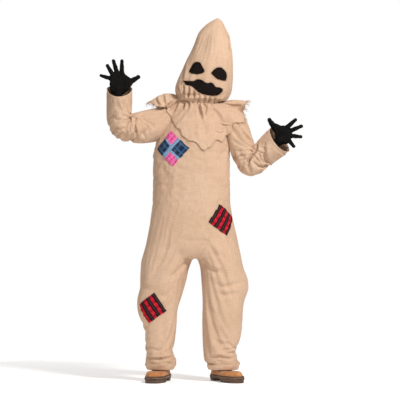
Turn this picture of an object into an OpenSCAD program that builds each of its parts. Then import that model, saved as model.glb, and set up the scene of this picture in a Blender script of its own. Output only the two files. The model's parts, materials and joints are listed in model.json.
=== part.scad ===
// Life-size standing scarecrow figure: a burlap jumpsuit, pointed hood, ragged collar, gloves
// and boots over a jointed steel armature with padding.
// Row frame: millimetres, +Z up, the figure faces -Y. "Right" and "left" are the figure's own,
// so its right side is on -X. The floor is z = 0.

/* [Trunk] */
// Height of the shoulder pivots above the floor
shoulder_z = 1370; // [1360:5:1380]
// Height of the hip bracket above the floor
hip_z = 880; // [870:5:890]
// Distance of the body's middle plane behind the origin
body_y = 22; // [18:1:26]
// Height of the seam where the trouser legs leave the trunk
crotch_seam_z = 700; // [690:5:710]

/* [Armature] */
// Outer radius of the steel tubes in the legs, trunk and upper arms
tube_r = 12.5; // [11.5:0.5:13]
// Wall of the steel tubes
tube_wall = 1.5; // [1:0.25:2]
// Outer radius of the forearm tube
forearm_tube_r = 11; // [10.5:0.5:11.5]
// Radius of the pivot bolts
pin_r = 5; // [4:0.5:6]
// Radius of the wrist rod
wrist_rod_r = 6; // [5:0.5:7]
// Radial running clearance in the pivots
running_gap = 0.06; // [0.02:0.01:0.1]

/* [Garment] */
// Thickness of the burlap with its seam allowance
cloth = 4; // [3:0.5:5]
// Gap between garment and padding
ease = 2; // [1:0.5:4]
// Largest radius of the upper sleeves
sleeve_r = 66; // [60:1:67]
// Radius of the forearm sleeves
forearm_sleeve_r = 62; // [58:1:66]

/* [Boots] */
// Length of the boot sole
boot_length = 300; // [290:5:305]
// Width of the boot sole at the ball of the foot
boot_width = 108; // [100:2:112]
// Thickness of the sole
sole_h = 20; // [16:1:20]
// Height of the heel under the sole
heel_h = 16; // [12:1:16]

/* [Hidden] */
$fn = 48;

RIGHT = 0;
LEFT = 1;
UP = [0, 0, 1];
slip = 0.05;             // gap between fixed pieces that fit in each other
leather = 4;             // thickness of the boot uppers
pad_hole = 25;           // radius of the way through the leg padding for the steel
sides = 20;              // corners of each garment section
burlap = [0.80, 0.65, 0.49];
straw = [0.86, 0.74, 0.46];
steel = [0.62, 0.63, 0.65];
zinc = [0.78, 0.79, 0.80];
black_cloth = [0.05, 0.045, 0.045];
suede = [0.68, 0.42, 0.22];
dark_rubber = [0.22, 0.12, 0.09];

// Armature points, [right, left]
spine_x = -30;
hip_half = 82;
shoulder = [[-212, body_y, shoulder_z], [178, body_y, shoulder_z]];
upper_length = 250;      // shoulder pivot to elbow pivot
fore_length = 205;       // elbow pivot to the end of the forearm tube
arm_yaw = [29.5, 15];    // degrees that each arm reaches forward
upper_rise = [-12.7, -70.7];  // degrees above level of each upper arm
fore_rise = [90, 37.2];  // degrees above level of each forearm
hand_turn = [0, -15];    // degrees that each hand is turned, about +Z
hip = [[-45 - hip_half, body_y, hip_z], [-45 + hip_half, body_y, hip_z]];
knee = [[-232, body_y - 22, 425], [128, body_y - 12, 425]];
ankle = [[-203, body_y + 12, 0], [114, body_y + 12, 0]];
boot_turn = [-14, 26];   // degrees that each toe turns out, about +Z
neck = [-4, body_y - 6, 1452];
head_lean = 12;          // degrees that the head leans towards the figure's left

// Pivot hardware
ear_t = 6;
fork_gap = 12;
tang_t = fork_gap - 1;
eye_r = 16;              // outer radius of fork ears and tangs
fork_reach = 30;         // pivot to the middle of a fork's base
neck_scale = 0.9;        // the neck's fork is this much smaller

// Garment sections: [centre x, centre y - body_y, z, half width, half depth]
torso_sections = [
    [-34, 0, crotch_seam_z, 256, 150], [-42, 0, 765, 232, 150], [-43, 0, 840, 214, 146],
    [-46, 0, 930, 200, 140], [-46, 0, 1190, 198, 132], [-34, 0, 1262, 180, 126],
    [-22, 0, 1320, 168, 114], [-12, 0, 1375, 152, 98], [-6, 0, 1420, 118, 82],
    [-4, 0, 1444, 86, 70]
];
leg_sections = [
    [
        [-209, 12, 62, 77, 93], [-206, 12, 105, 84, 98], [-210, 12, 165, 78, 96],
        [-227, -4, 230, 71, 84], [-226, -14, 325, 79, 92], [-240, -20, 408, 98, 104],
        [-217, -12, 478, 112, 112], [-193, -4, 545, 115, 122], [-182, 0, 610, 134, 132],
        [-166, 0, crotch_seam_z - 2, 130, 140]
    ],
    [
        [123, 10, 62, 81, 91], [118, 8, 105, 87, 95], [108, 4, 165, 81, 88],
        [125, 0, 230, 99, 92], [133, -6, 325, 102, 98], [133, -10, 416, 102, 104],
        [133, -6, 478, 107, 112], [134, -2, 545, 122, 122], [115, 0, 610, 112, 132],
        [98, 0, crotch_seam_z - 2, 126, 140]
    ]
];
hood_sections = [
    [6, -8, 1482, 68, 64], [12, -10, 1498, 104, 94], [14, -12, 1520, 138, 122],
    [19, -14, 1556, 146, 130], [31, -14, 1610, 141, 126], [46, -12, 1672, 129, 114],
    [58, -8, 1735, 110, 96], [63, -4, 1797, 88, 74], [67, 0, 1838, 74, 56],
    [76, 0, 1872, 46, 34], [88, 0, 1900, 8, 7]
];
// Sleeve sections along a bone: [distance from its pivot, half size along the pivot, half size across it]
upper_sections = [
    [40, 46, 42], [70, 56, 54], [105, sleeve_r - 4, sleeve_r - 5], [145, sleeve_r, sleeve_r - 2],
    [168, 54, 50], [186, 42, 36], [207, 30, 25]
];
cuff = [[214, 68], [207, 78]];  // [distance from the elbow, radius] of each open cuff
lower_sections = [
    for (s = [RIGHT, LEFT]) [
        [43, 30, 25], [64, 42, 36], [88, 56, 54], [112, forearm_sleeve_r - 1, forearm_sleeve_r - 1],
        [160, forearm_sleeve_r, forearm_sleeve_r], [cuff[s][0], cuff[s][1], cuff[s][1] - 4]
    ]
];

// Fingers in the plane of the hand, from the wrist: [base x, base z, tip x, tip z, radius]
fingers = [
    [
        [-36, 60, -89, 75, 8], [-22, 74, -57, 127, 8.5], [-6, 90, -25, 151, 8.5],
        [16, 92, 19, 151, 8.5], [62, 50, 104, 68, 9.5]
    ],
    [
        [52, 0, 76, -30, 8], [60, 27, 113, 20, 8.5], [56, 52, 116, 75, 8.5],
        [40, 72, 85, 109, 8.5], [-30, 76, -55, 109, 10]
    ]
];
palm = [
    [
        [-20, -22], [22, -22], [48, -6], [56, 8], [80, 28], [86, 46], [64, 64], [39, 86],
        [24, 98], [10, 98], [-16, 88], [-41, 68], [-46, 50], [-45, 30], [-38, 0]
    ],
    [
        [-17, -15], [53, -15], [60, 7], [62, 41], [48, 70], [22, 78], [4, 78], [-18, 86],
        [-36, 95], [-46, 74], [-30, 44]
    ]
];
palm_t = 30;             // thickness of the palm
hub_mid = [[0, 0, 52], [14, 0, 44]];  // middle of the plate that holds the finger wires
hub_r = 24;
wrist_reach = 42;        // how far the wrist rod goes into the palm

// Face outlines seen from the front, [x, z] from the middle of the face, before the lean
face_mid = [36, 1588];
eye_outline = [[-40, -26], [-12, -34], [28, -30], [41, -10], [26, 20], [2, 34], [-20, 20]];
mouth_outline = [
    [-104, 14], [-92, 16], [-52, 12], [-30, 26], [0, 20], [30, 26], [52, 12], [92, 16],
    [104, 12], [98, -10], [60, -22], [24, -38], [-24, -38], [-60, -22], [-98, -4]
];

// ---------- small helpers ----------

function unit(v) = v / norm(v);
function flatten(lists) = [for (l = lists) each l];
function level_dir(s) = [(s == RIGHT ? -1 : 1) * cos(arm_yaw[s]), -sin(arm_yaw[s]), 0];
function upper_dir(s) = cos(upper_rise[s]) * level_dir(s) + sin(upper_rise[s]) * UP;
function fore_dir(s) = cos(fore_rise[s]) * level_dir(s) + sin(fore_rise[s]) * UP;
function arm_axis(s) = cross(level_dir(s), UP);
elbow = [for (s = [RIGHT, LEFT]) shoulder[s] + upper_length * upper_dir(s)];
wrist = [for (s = [RIGHT, LEFT]) elbow[s] + fore_length * fore_dir(s)];

// Puts its children in a frame at p whose x runs along x_dir and whose y is a pivot axis
module in_frame(p, x_dir, y_dir) {
    z_dir = cross(x_dir, y_dir);
    multmatrix([
        [x_dir.x, y_dir.x, z_dir.x, p.x],
        [x_dir.y, y_dir.y, z_dir.y, p.y],
        [x_dir.z, y_dir.z, z_dir.z, p.z]
    ]) children();
}

module rod(a, b, r) {
    d = b - a;
    translate(a)
        rotate([0, acos(d.z / norm(d)), atan2(d.y, d.x)])
            rotate([0, 0, 30]) cylinder(h = norm(d), r = r);
}

module tube(a, b, r, wall) {
    over = unit(b - a);
    difference() {
        rod(a, b, r);
        rod(a - over, b + over, r - wall);
    }
}

// A round bar along x
module x_rod(x0, x1, r) {
    translate([x0, 0, 0]) rotate([0, 90, 0]) cylinder(h = x1 - x0, r = r);
}

// A round bar along y
module y_rod(y0, y1, r) {
    translate([0, y0, 0]) rotate([-90, 0, 0]) cylinder(h = y1 - y0, r = r);
}

// ---------- lofts ----------

function turn(i) = 360 * i / sides;
// A level ring of a garment section, grown by g
function level_ring(s, g) =
    [for (i = [0:sides - 1])
        [s[0] + (s[3] + g) * cos(turn(i)), body_y + s[1] + (s[4] + g) * sin(turn(i)), s[2]]];
// A ring round a bone that runs along x
function bone_ring(s, g) =
    [for (i = [0:sides - 1]) [s[0], (s[1] + g) * cos(turn(i)), (s[2] + g) * sin(turn(i))]];

function wall_faces(rings, first, outside) =
    [for (j = [0:rings - 2], i = [0:sides - 1])
        let (a = first + j * sides + i, b = first + j * sides + (i + 1) % sides)
        each (outside
            ? [[a, a + sides, b + sides], [a, b + sides, b]]
            : [[a, b + sides, a + sides], [a, b, b + sides]])];

function rim_faces(outer, inner, low) =
    [for (i = [0:sides - 1])
        let (a = outer + i, b = outer + (i + 1) % sides, p = inner + i, q = inner + (i + 1) % sides)
        each (low ? [[a, b, q], [a, q, p]] : [[a, q, b], [a, p, q]])];

// A closed solid through rings of points
module loft(rings) {
    last = (len(rings) - 1) * sides;
    polyhedron(
        points = flatten(rings),
        faces = concat(
            wall_faces(len(rings), 0, true),
            [[for (i = [0:sides - 1]) i]],
            [[for (i = [sides - 1:-1:0]) last + i]]
        )
    );
}

// A shell between two sets of rings, open at both ends
module shell(outer, inner) {
    n = len(outer);
    polyhedron(
        points = concat(flatten(outer), flatten(inner)),
        faces = concat(
            wall_faces(n, 0, true),
            wall_faces(n, n * sides, false),
            rim_faces(0, n * sides, true),
            rim_faces((n - 1) * sides, (2 * n - 1) * sides, false)
        )
    );
}

module garment(sections) {
    shell(
        [for (s = sections) level_ring(s, 0)],
        [for (s = sections) level_ring(s, -cloth)]
    );
}

// The sheet of cloth that lies on a garment inside an outline seen from the front
module applique(sections, lift, thickness) {
    intersection() {
        shell(
            [for (s = sections) level_ring(s, lift + thickness)],
            [for (s = sections) level_ring(s, lift)]
        );
        children();
    }
}

// A square prism that points to the front, turned by angle round its middle
module front_square(x, z, side, angle) {
    translate([x, body_y - 260, z]) rotate([0, angle, 0]) translate([-side / 2, 0, -side / 2])
        cube([side, 260, side]);
}

// ---------- boots ----------

// Outline of a sole along y, toe towards -y, heel towards +y, ankle at the origin
module sole_outline(grow) {
    toe = boot_length - 92;
    offset(r = grow, $fn = 24) hull($fn = 32) {
        translate([0, -toe + 44]) circle(r = 44);
        translate([0, -toe + 96]) circle(r = boot_width / 2);
        translate([0, 92 - 38]) circle(r = 38);
    }
}

module at_foot(s) {
    translate([ankle[s].x, ankle[s].y, 0]) rotate([0, 0, boot_turn[s]]) children();
}

module sole(s) {
    color(dark_rubber) at_foot(s) {
        translate([0, 0, heel_h]) linear_extrude(sole_h) sole_outline(0);
        intersection() {
            linear_extrude(heel_h) sole_outline(-2);
            translate([-80, -250, 0]) cube([160, 172, heel_h]);
        }
        intersection() {
            linear_extrude(heel_h) sole_outline(-2);
            translate([-80, 18, 0]) cube([160, 100, heel_h]);
        }
    }
}

// The foot of the upper, shrunk by g
module boot_foot(g) {
    toe = boot_length - 92;
    hull($fn = 28) {
        translate([0, 48 - toe, 0]) cylinder(r1 = 42 - g, r2 = 30 - g, h = 21 - g);
        translate([0, 96 - toe, 0]) cylinder(r = boot_width / 2 - 6 - g, h = 21 - g);
        translate([0, 48, 0]) cylinder(r = 34 - g, h = 22 - g);
    }
}

// The shaft of the upper, shrunk by g
module boot_shaft(g) {
    hull($fn = 28) {
        translate([0, 40, 0]) cylinder(r = 34 - g, h = 112);
        translate([0, -22, 0]) cylinder(r = 38 - g, h = 112);
    }
}

module boot_upper(s) {
    top = heel_h + sole_h;
    color(suede) at_foot(s) translate([0, 0, top]) difference() {
        union() {
            boot_foot(0);
            boot_shaft(0);
        }
        translate([0, 0, -1]) boot_foot(leather);
        translate([0, 0, -1]) boot_shaft(leather);
        translate([0, 0, 80]) boot_shaft(leather);
    }
}

// ---------- legs ----------

plate_t = 5;
plate_z = heel_h + sole_h;
socket_h = 70;
ankle_top = [for (s = [RIGHT, LEFT]) [ankle[s].x, ankle[s].y, plate_z + plate_t]];
function shin_dir(s) = unit(knee[s] - ankle_top[s]);
function thigh_dir(s) = unit(hip[s] - knee[s]);

module foot_plate(s) {
    color(steel) {
        at_foot(s) translate([-27, -110, plate_z]) cube([54, 160, plate_t]);
        difference() {
            rod(ankle_top[s] - 2.5 * shin_dir(s), ankle_top[s] + socket_h * shin_dir(s), tube_r + 3);
            rod(ankle_top[s] + 4.9 * shin_dir(s), ankle_top[s] + (socket_h + 1) * shin_dir(s), tube_r + slip);
        }
    }
}

module shin_tube(s) {
    color(steel) tube(ankle_top[s] + 5 * shin_dir(s), knee[s] - 12 * shin_dir(s), tube_r, tube_wall);
}

module thigh_tube(s) {
    color(steel) tube(knee[s] + 12 * thigh_dir(s), hip[s] - 26 * thigh_dir(s), tube_r, tube_wall);
}

module knee_coupling(s) {
    color(zinc) difference() {
        union() {
            rod(knee[s] - 50 * shin_dir(s), knee[s], tube_r + 4);
            rod(knee[s], knee[s] + 50 * thigh_dir(s), tube_r + 4);
            translate(knee[s]) sphere(r = tube_r + 5.5);
        }
        rod(knee[s] - 51 * shin_dir(s), knee[s] - 11 * shin_dir(s), tube_r + slip);
        rod(knee[s] + 11 * thigh_dir(s), knee[s] + 51 * thigh_dir(s), tube_r + slip);
    }
}

// The middle of the leg's steel at height z
function leg_mid(s, z) = z < knee[s].z
    ? ankle_top[s] + (z - ankle_top[s].z) / shin_dir(s).z * shin_dir(s)
    : knee[s] + (z - knee[s].z) / thigh_dir(s).z * thigh_dir(s);

module leg_stuffing(s) {
    sections = [for (c = leg_sections[s]) if (c[2] > 200) c];
    color(straw) shell(
        [for (c = sections) level_ring(c, -cloth - ease)],
        [for (c = sections) let (m = leg_mid(s, c[2])) level_ring([m.x, m.y - body_y, c[2], 0, 0], pad_hole)]
    );
}

// The right leg has no part beyond its inner seam, and nor has the left
seam_x = -33;
module leg_side(s) {
    translate([s == RIGHT ? seam_x - 400 : seam_x + 2, -300, 0]) cube([398, 600, 800]);
}

module trouser_leg(s) {
    color(burlap) intersection() {
        garment(leg_sections[s]);
        leg_side(s);
    }
}

// ---------- trunk frame ----------

spine_r = tube_r;
spine_base = [spine_x, body_y, hip_z];
module hip_bracket() {
    color(zinc) difference() {
        union() {
            rod([hip[RIGHT].x - 20, body_y, hip_z], [hip[LEFT].x + 20, body_y, hip_z], tube_r + 3);
            for (s = [RIGHT, LEFT]) rod(hip[s], hip[s] - 70 * thigh_dir(s), tube_r + 4);
            rod(spine_base, spine_base + 60 * UP, spine_r + 4);
        }
        for (s = [RIGHT, LEFT]) rod(hip[s] - 25 * thigh_dir(s), hip[s] - 71 * thigh_dir(s), tube_r + slip);
        rod(spine_base + 18 * UP, spine_base + 61 * UP, spine_r + slip);
    }
}

module spine_tube() {
    top = [spine_x, body_y, shoulder_z - tube_r - 4];
    color(steel) tube(spine_base + 19 * UP, top, spine_r, tube_wall);
}

bar_ends = [[-150, body_y, shoulder_z], [112, body_y, shoulder_z]];
module shoulder_bar() {
    under = [spine_x, body_y, shoulder_z];
    color(zinc) difference() {
        union() {
            rod(bar_ends[RIGHT], bar_ends[LEFT], tube_r);
            rod(under - 70 * UP, under, spine_r + 4);
            rod([neck.x, neck.y, shoulder_z - 10], [neck.x, neck.y, shoulder_z + 28], 20);
        }
        rod(under - 71 * UP, under - 16 * UP, spine_r + slip);
        rod([neck.x, neck.y, shoulder_z + 4], [neck.x, neck.y, shoulder_z + 29], 11 + slip);
    }
}

// A fork: two ears round a pivot on y, joined by a base on -x
module fork(reach) {
    difference() {
        union() {
            for (side = [-1, 1]) translate([0, side * (fork_gap + ear_t) / 2, 0]) {
                y_rod(-ear_t / 2, ear_t / 2, eye_r);
                translate([-reach, -ear_t / 2, -eye_r]) cube([reach, ear_t, 2 * eye_r]);
            }
            translate([-reach - 6, -fork_gap / 2 - ear_t, -eye_r])
                cube([8, fork_gap + 2 * ear_t, 2 * eye_r]);
        }
        y_rod(-40, 40, pin_r + slip);
    }
}

// The flat eye that turns inside a fork, with its stem along +x
module tang(stem) {
    difference() {
        union() {
            y_rod(-tang_t / 2, tang_t / 2, eye_r - 1);
            translate([0, -tang_t / 2, -eye_r + 4]) cube([stem, tang_t, 2 * eye_r - 8]);
        }
        y_rod(-40, 40, pin_r + running_gap);
    }
}

// A bolt on y with a hexagon head, two washers and a wing nut
module pivot_bolt() {
    half = fork_gap / 2 + ear_t;
    color(zinc) {
        y_rod(-half - 9, half + 14, pin_r);
        difference() {
            union() {
                y_rod(-half - 2, -half, 11);
                y_rod(half, half + 2, 11);
                y_rod(half + 2, half + 9, 9);
                for (side = [-1, 1]) translate([side * 12, half + 6, 0])
                    rotate([0, side * -25, 0]) cube([14, 4, 9], center = true);
            }
            y_rod(-half - 12, half + 20, pin_r - 0.5);
        }
        translate([0, -half - 9, 0]) rotate([-90, 0, 0]) cylinder(h = 7, r = 9, $fn = 6);
    }
}

module shoulder_bracket(s) {
    base = shoulder[s] - (fork_reach + 3) * level_dir(s);
    inner = bar_ends[s] + (s == RIGHT ? 36 : -36) * [1, 0, 0];
    outer = bar_ends[s] + (s == RIGHT ? -2 : 2) * [1, 0, 0];
    color(zinc) difference() {
        union() {
            in_frame(shoulder[s], level_dir(s), arm_axis(s)) fork(fork_reach);
            rod(inner, outer, tube_r + 3.5);
            rod(outer, base, 14);
        }
        rod(inner + (s == RIGHT ? 1 : -1) * [1, 0, 0], bar_ends[s], tube_r + slip);
    }
}

module shoulder_bolt(s) {
    in_frame(shoulder[s], level_dir(s), arm_axis(s)) pivot_bolt();
}

neck_post_r = 11;
neck_turn_z = shoulder_z + 42;
module neck_post() {
    color(steel) difference() {
        union() {
            rod([neck.x, neck.y, shoulder_z + 4.5], [neck.x, neck.y, neck_turn_z], neck_post_r);
            rod([neck.x, neck.y, shoulder_z + 28.5], [neck.x, neck.y, neck_turn_z - 2], 16);
        }
        rod([neck.x, neck.y, shoulder_z + 10], [neck.x, neck.y, neck_turn_z + 1], 6 + running_gap);
    }
}

// A fork with its pivot on y, held up by a stem that turns in the neck post
module neck_swivel() {
    color(zinc) {
        translate(neck) scale(neck_scale) rotate([0, -90, 0]) fork(fork_reach - 4);
        rod([neck.x, neck.y, neck_turn_z + 0.5], [neck.x, neck.y, neck.z - 26], 14);
        rod([neck.x, neck.y, shoulder_z + 14], [neck.x, neck.y, neck_turn_z + 1], 6);
    }
}

module neck_bolt() {
    translate(neck) scale(neck_scale) rotate([0, -90, 0]) pivot_bolt();
}

module at_head() {
    translate(neck) rotate([0, head_lean, 0]) children();
}

module head_tube() {
    color(steel) {
        at_head() scale(neck_scale) rotate([0, -90, 0]) tang(34);
        at_head() rod([0, 0, 28], [0, 0, 300], 10);
    }
}

// ---------- padding ----------

module torso_stuffing() {
    chest = [for (c = torso_sections) if (c[2] >= 930 && c[2] <= 1320) c];
    color(straw) difference() {
        loft([for (c = chest) level_ring(c, -cloth - ease)]);
        rod(spine_base, [spine_x, body_y, shoulder_z], spine_r + 5);
    }
}

module head_form() {
    color(straw) difference() {
        loft([for (c = hood_sections) if (c[2] < 1890 && c[2] > 1490) level_ring(c, -cloth - ease)]);
        at_head() rod([0, 0, 10], [0, 0, 301], 10.5);
    }
}

// ---------- garments ----------

armhole_r = 52;
module jumpsuit_torso() {
    color(burlap) difference() {
        garment(torso_sections);
        for (s = [RIGHT, LEFT])
            rod(bar_ends[s], shoulder[s] + (s == RIGHT ? -60 : 60) * [1, 0, 0], armhole_r);
    }
}

// How much of the collar's outline belongs to the front and back, 0 at the shoulders
function facing(a) = pow(abs(sin(a)), 2);
function collar_drop(a) = (sin(a) < 0 ? 240 : 190) * pow(facing(a), 1.5);
function collar_rings(g) = [
    for (row = [[84, 74, 1460, 0], [150, 116, 1458, 0.02], [212, 140, 1456, 0.3], [250, 152, 1453, 1]])
        [for (i = [0:sides - 1]) let (a = turn(i), w = facing(a), drop = row[3] * collar_drop(a))
            [
                -4 + (row[0] * (1 - w * row[3] * 0.35) - g * w) * cos(a),
                body_y + (row[1] - g * w) * sin(a),
                row[2] - drop - g * (1 - w)
            ]]
];
module collar() {
    top = collar_rings(0);
    under = collar_rings(cloth);
    n = len(top);
    color(burlap) polyhedron(
        points = concat(flatten(top), flatten(under)),
        faces = concat(
            wall_faces(n, 0, false),
            wall_faces(n, n * sides, true),
            rim_faces(0, n * sides, false),
            rim_faces((n - 1) * sides, (2 * n - 1) * sides, true)
        )
    );
}

module chest_patch() {
    color([0.35, 0.42, 0.62]) applique(torso_sections, 0.5, 3) front_square(-146, 1200, 122, 42);
}

module hip_patch() {
    color([0.62, 0.08, 0.14]) applique(torso_sections, 0.5, 3) front_square(112, 846, 112, 33);
}

module knee_patch() {
    color([0.62, 0.08, 0.14]) applique(leg_sections[RIGHT], 0.5, 3) front_square(-248, 388, 106, -28);
}

module face_prism(outline, x, z, flip) {
    translate([face_mid.x, body_y - 240, face_mid.y]) rotate([0, head_lean, 0])
        translate([x, 0, z]) rotate([90, 0, 0]) mirror([flip ? 1 : 0, 0, 0])
        translate([0, 0, -160]) linear_extrude(200) polygon(outline);
}

module eye_prism(s) {
    face_prism(eye_outline, s == RIGHT ? -52 : 60, 40, s == LEFT);
}

module mouth_prism() {
    face_prism(mouth_outline, -4, -52, false);
}

module hood() {
    color(burlap) difference() {
        garment(hood_sections);
        for (s = [RIGHT, LEFT]) eye_prism(s);
        mouth_prism();
    }
}

// Black gauze that fills an opening of the hood
module gauze() {
    color(black_cloth) applique(hood_sections, -cloth, cloth - 1) children();
}

module eye_panel(s) {
    gauze() eye_prism(s);
}

module mouth_panel() {
    gauze() mouth_prism();
}

// ---------- arms ----------

module at_upper(s) {
    in_frame(shoulder[s], upper_dir(s), arm_axis(s)) children();
}

module at_elbow(s) {
    in_frame(elbow[s], upper_dir(s), arm_axis(s)) children();
}

module at_fore(s) {
    in_frame(elbow[s], fore_dir(s), arm_axis(s)) children();
}

module upper_arm_tube(s) {
    color(steel) {
        at_upper(s) tang(38);
        at_upper(s) x_rod(32, upper_length - fork_reach - 2, tube_r);
        at_elbow(s) fork(fork_reach);
    }
}

module elbow_bolt(s) {
    at_elbow(s) pivot_bolt();
}

module bone_shell(sections) {
    shell([for (c = sections) bone_ring(c, 0)], [for (c = sections) bone_ring(c, -cloth)]);
}

module bone_padding(sections, hole) {
    shell(
        [for (c = sections) bone_ring(c, -cloth - ease)],
        [for (c = sections) bone_ring([c[0], hole, hole], 0)]
    );
}

module upper_arm_padding(s) {
    color(straw) at_upper(s) bone_padding(upper_sections, tube_r + 2);
}

module sleeve_upper(s) {
    color(burlap) at_upper(s) bone_shell(upper_sections);
}

bush_length = 50;
module forearm_tube(s) {
    color(steel) at_fore(s) {
        tang(36);
        difference() {
            x_rod(32, fore_length, forearm_tube_r);
            x_rod(60, fore_length + 1, forearm_tube_r - 2);
        }
    }
}

module wrist_bush(s) {
    color(black_cloth) at_fore(s) difference() {
        x_rod(fore_length - bush_length, fore_length, forearm_tube_r - 2 - slip);
        x_rod(fore_length - bush_length - 1, fore_length + 1, wrist_rod_r + running_gap);
    }
}

module forearm_padding(s) {
    short = [for (c = lower_sections[s]) if (c[0] < 200) c];
    color(straw) at_fore(s) bone_padding(short, forearm_tube_r + 2);
}

module sleeve_lower(s) {
    color(burlap) at_fore(s) bone_shell(lower_sections[s]);
}

// ---------- hands ----------

wire_r = 2;
// Stands the hand in its own upright plane at the wrist
module at_hand(s) {
    translate(wrist[s]) rotate([0, 0, hand_turn[s]]) children();
}

module finger_wires(s, r) {
    for (f = fingers[s]) {
        way = unit([f[0], 0, f[1]] - hub_mid[s]);
        rod(hub_mid[s] + 14 * way, [f[2], 0, f[3]] + 4 * r / wire_r * way, r);
    }
}

module hand_hub(s, grow) {
    translate(hub_mid[s]) y_rod(-5 - grow, 5 + grow, hub_r + grow);
}

module hand_armature(s) {
    color(steel) {
        at_fore(s) {
            x_rod(fore_length - bush_length - 4, fore_length + wrist_reach, wrist_rod_r);
            x_rod(fore_length + 0.5, fore_length + 3, wrist_rod_r + 3);
        }
        at_hand(s) {
            hand_hub(s, 0);
            finger_wires(s, wire_r);
        }
    }
}

module glove(s) {
    color(black_cloth) difference() {
        at_hand(s) {
            rotate([90, 0, 0]) translate([0, 0, -palm_t / 2]) linear_extrude(palm_t) polygon(palm[s]);
            for (f = fingers[s]) {
                rod([f[0], 0, f[1]], [f[2], 0, f[3]], f[4] - 0.5, $fn = 20);
                translate([f[2], 0, f[3]]) sphere(r = f[4], $fn = 20);
            }
        }
        at_hand(s) {
            finger_wires(s, wire_r + 0.5, $fn = 16);
            hand_hub(s, 0.5);
        }
        at_fore(s) {
            x_rod(fore_length - 40, fore_length + wrist_reach + 1, wrist_rod_r + 4);
            x_rod(fore_length - 40, fore_length + 1, forearm_tube_r + 1);
        }
    }
}

// ---------- fasteners ----------

// Socket screws through the couplings, as one group of separate solids
module frame_screws() {
    color(zinc) {
        for (s = [RIGHT, LEFT]) {
            screw(ankle_top[s] + 40 * shin_dir(s), shin_dir(s), tube_r + 3);
            screw(knee[s] - 34 * shin_dir(s), shin_dir(s), tube_r + 4);
            screw(knee[s] + 34 * thigh_dir(s), thigh_dir(s), tube_r + 4);
            screw(hip[s] - 56 * thigh_dir(s), thigh_dir(s), tube_r + 4);
        }
        screw(spine_base + 44 * UP, UP, spine_r + 4);
        screw([spine_x, body_y, shoulder_z - 42], UP, spine_r + 4);
    }
}

// A cap screw that seats on the front of a coupling of radius r
module screw(p, along, r) {
    in_frame(p, along, unit([0, 1, 0] - ([0, 1, 0] * along) * along))
        y_rod(-r - 6, -r - 0.2, 5);
}

// ---------- assembly ----------

sole(RIGHT);  // sole_right
sole(LEFT);  // sole_left
boot_upper(RIGHT);  // boot_upper_right
boot_upper(LEFT);  // boot_upper_left
foot_plate(RIGHT);  // foot_plate_right
foot_plate(LEFT);  // foot_plate_left
frame_screws();
shin_tube(RIGHT);  // shin_tube_right
shin_tube(LEFT);  // shin_tube_left
knee_coupling(RIGHT);  // knee_coupling_right
knee_coupling(LEFT);  // knee_coupling_left
thigh_tube(RIGHT);  // thigh_tube_right
thigh_tube(LEFT);  // thigh_tube_left
hip_bracket();
spine_tube();
shoulder_bar();
shoulder_bracket(RIGHT);  // shoulder_bracket_right
shoulder_bracket(LEFT);  // shoulder_bracket_left
shoulder_bolt(RIGHT);  // shoulder_bolt_right
shoulder_bolt(LEFT);  // shoulder_bolt_left
neck_post();
torso_stuffing();
leg_stuffing(RIGHT);  // leg_stuffing_right
leg_stuffing(LEFT);  // leg_stuffing_left
jumpsuit_torso();
trouser_leg(RIGHT);  // trouser_leg_right
trouser_leg(LEFT);  // trouser_leg_left
collar();
chest_patch();
hip_patch();
knee_patch();
neck_swivel();
neck_bolt();
head_tube();
head_form();
hood();
eye_panel(RIGHT);  // eye_panel_right
eye_panel(LEFT);  // eye_panel_left
mouth_panel();
upper_arm_tube(RIGHT);  // upper_arm_tube_right
upper_arm_tube(LEFT);  // upper_arm_tube_left
elbow_bolt(RIGHT);  // elbow_bolt_right
elbow_bolt(LEFT);  // elbow_bolt_left
upper_arm_padding(RIGHT);  // upper_arm_padding_right
upper_arm_padding(LEFT);  // upper_arm_padding_left
sleeve_upper(RIGHT);  // sleeve_upper_right
sleeve_upper(LEFT);  // sleeve_upper_left
forearm_tube(RIGHT);  // forearm_tube_right
forearm_tube(LEFT);  // forearm_tube_left
wrist_bush(RIGHT);  // wrist_bush_right
wrist_bush(LEFT);  // wrist_bush_left
forearm_padding(RIGHT);  // forearm_padding_right
forearm_padding(LEFT);  // forearm_padding_left
sleeve_lower(RIGHT);  // sleeve_lower_right
sleeve_lower(LEFT);  // sleeve_lower_left
hand_armature(RIGHT);  // hand_armature_right
hand_armature(LEFT);  // hand_armature_left
glove(RIGHT);  // glove_right
glove(LEFT);  // glove_left
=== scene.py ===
"""Looks for the scarecrow figure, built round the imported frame. Metres, +Z up, the figure faces -Y."""

import json
import math

import bmesh
import bpy
import numpy as np
from mathutils import Matrix, Vector
from mathutils.bvhtree import BVHTree


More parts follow.
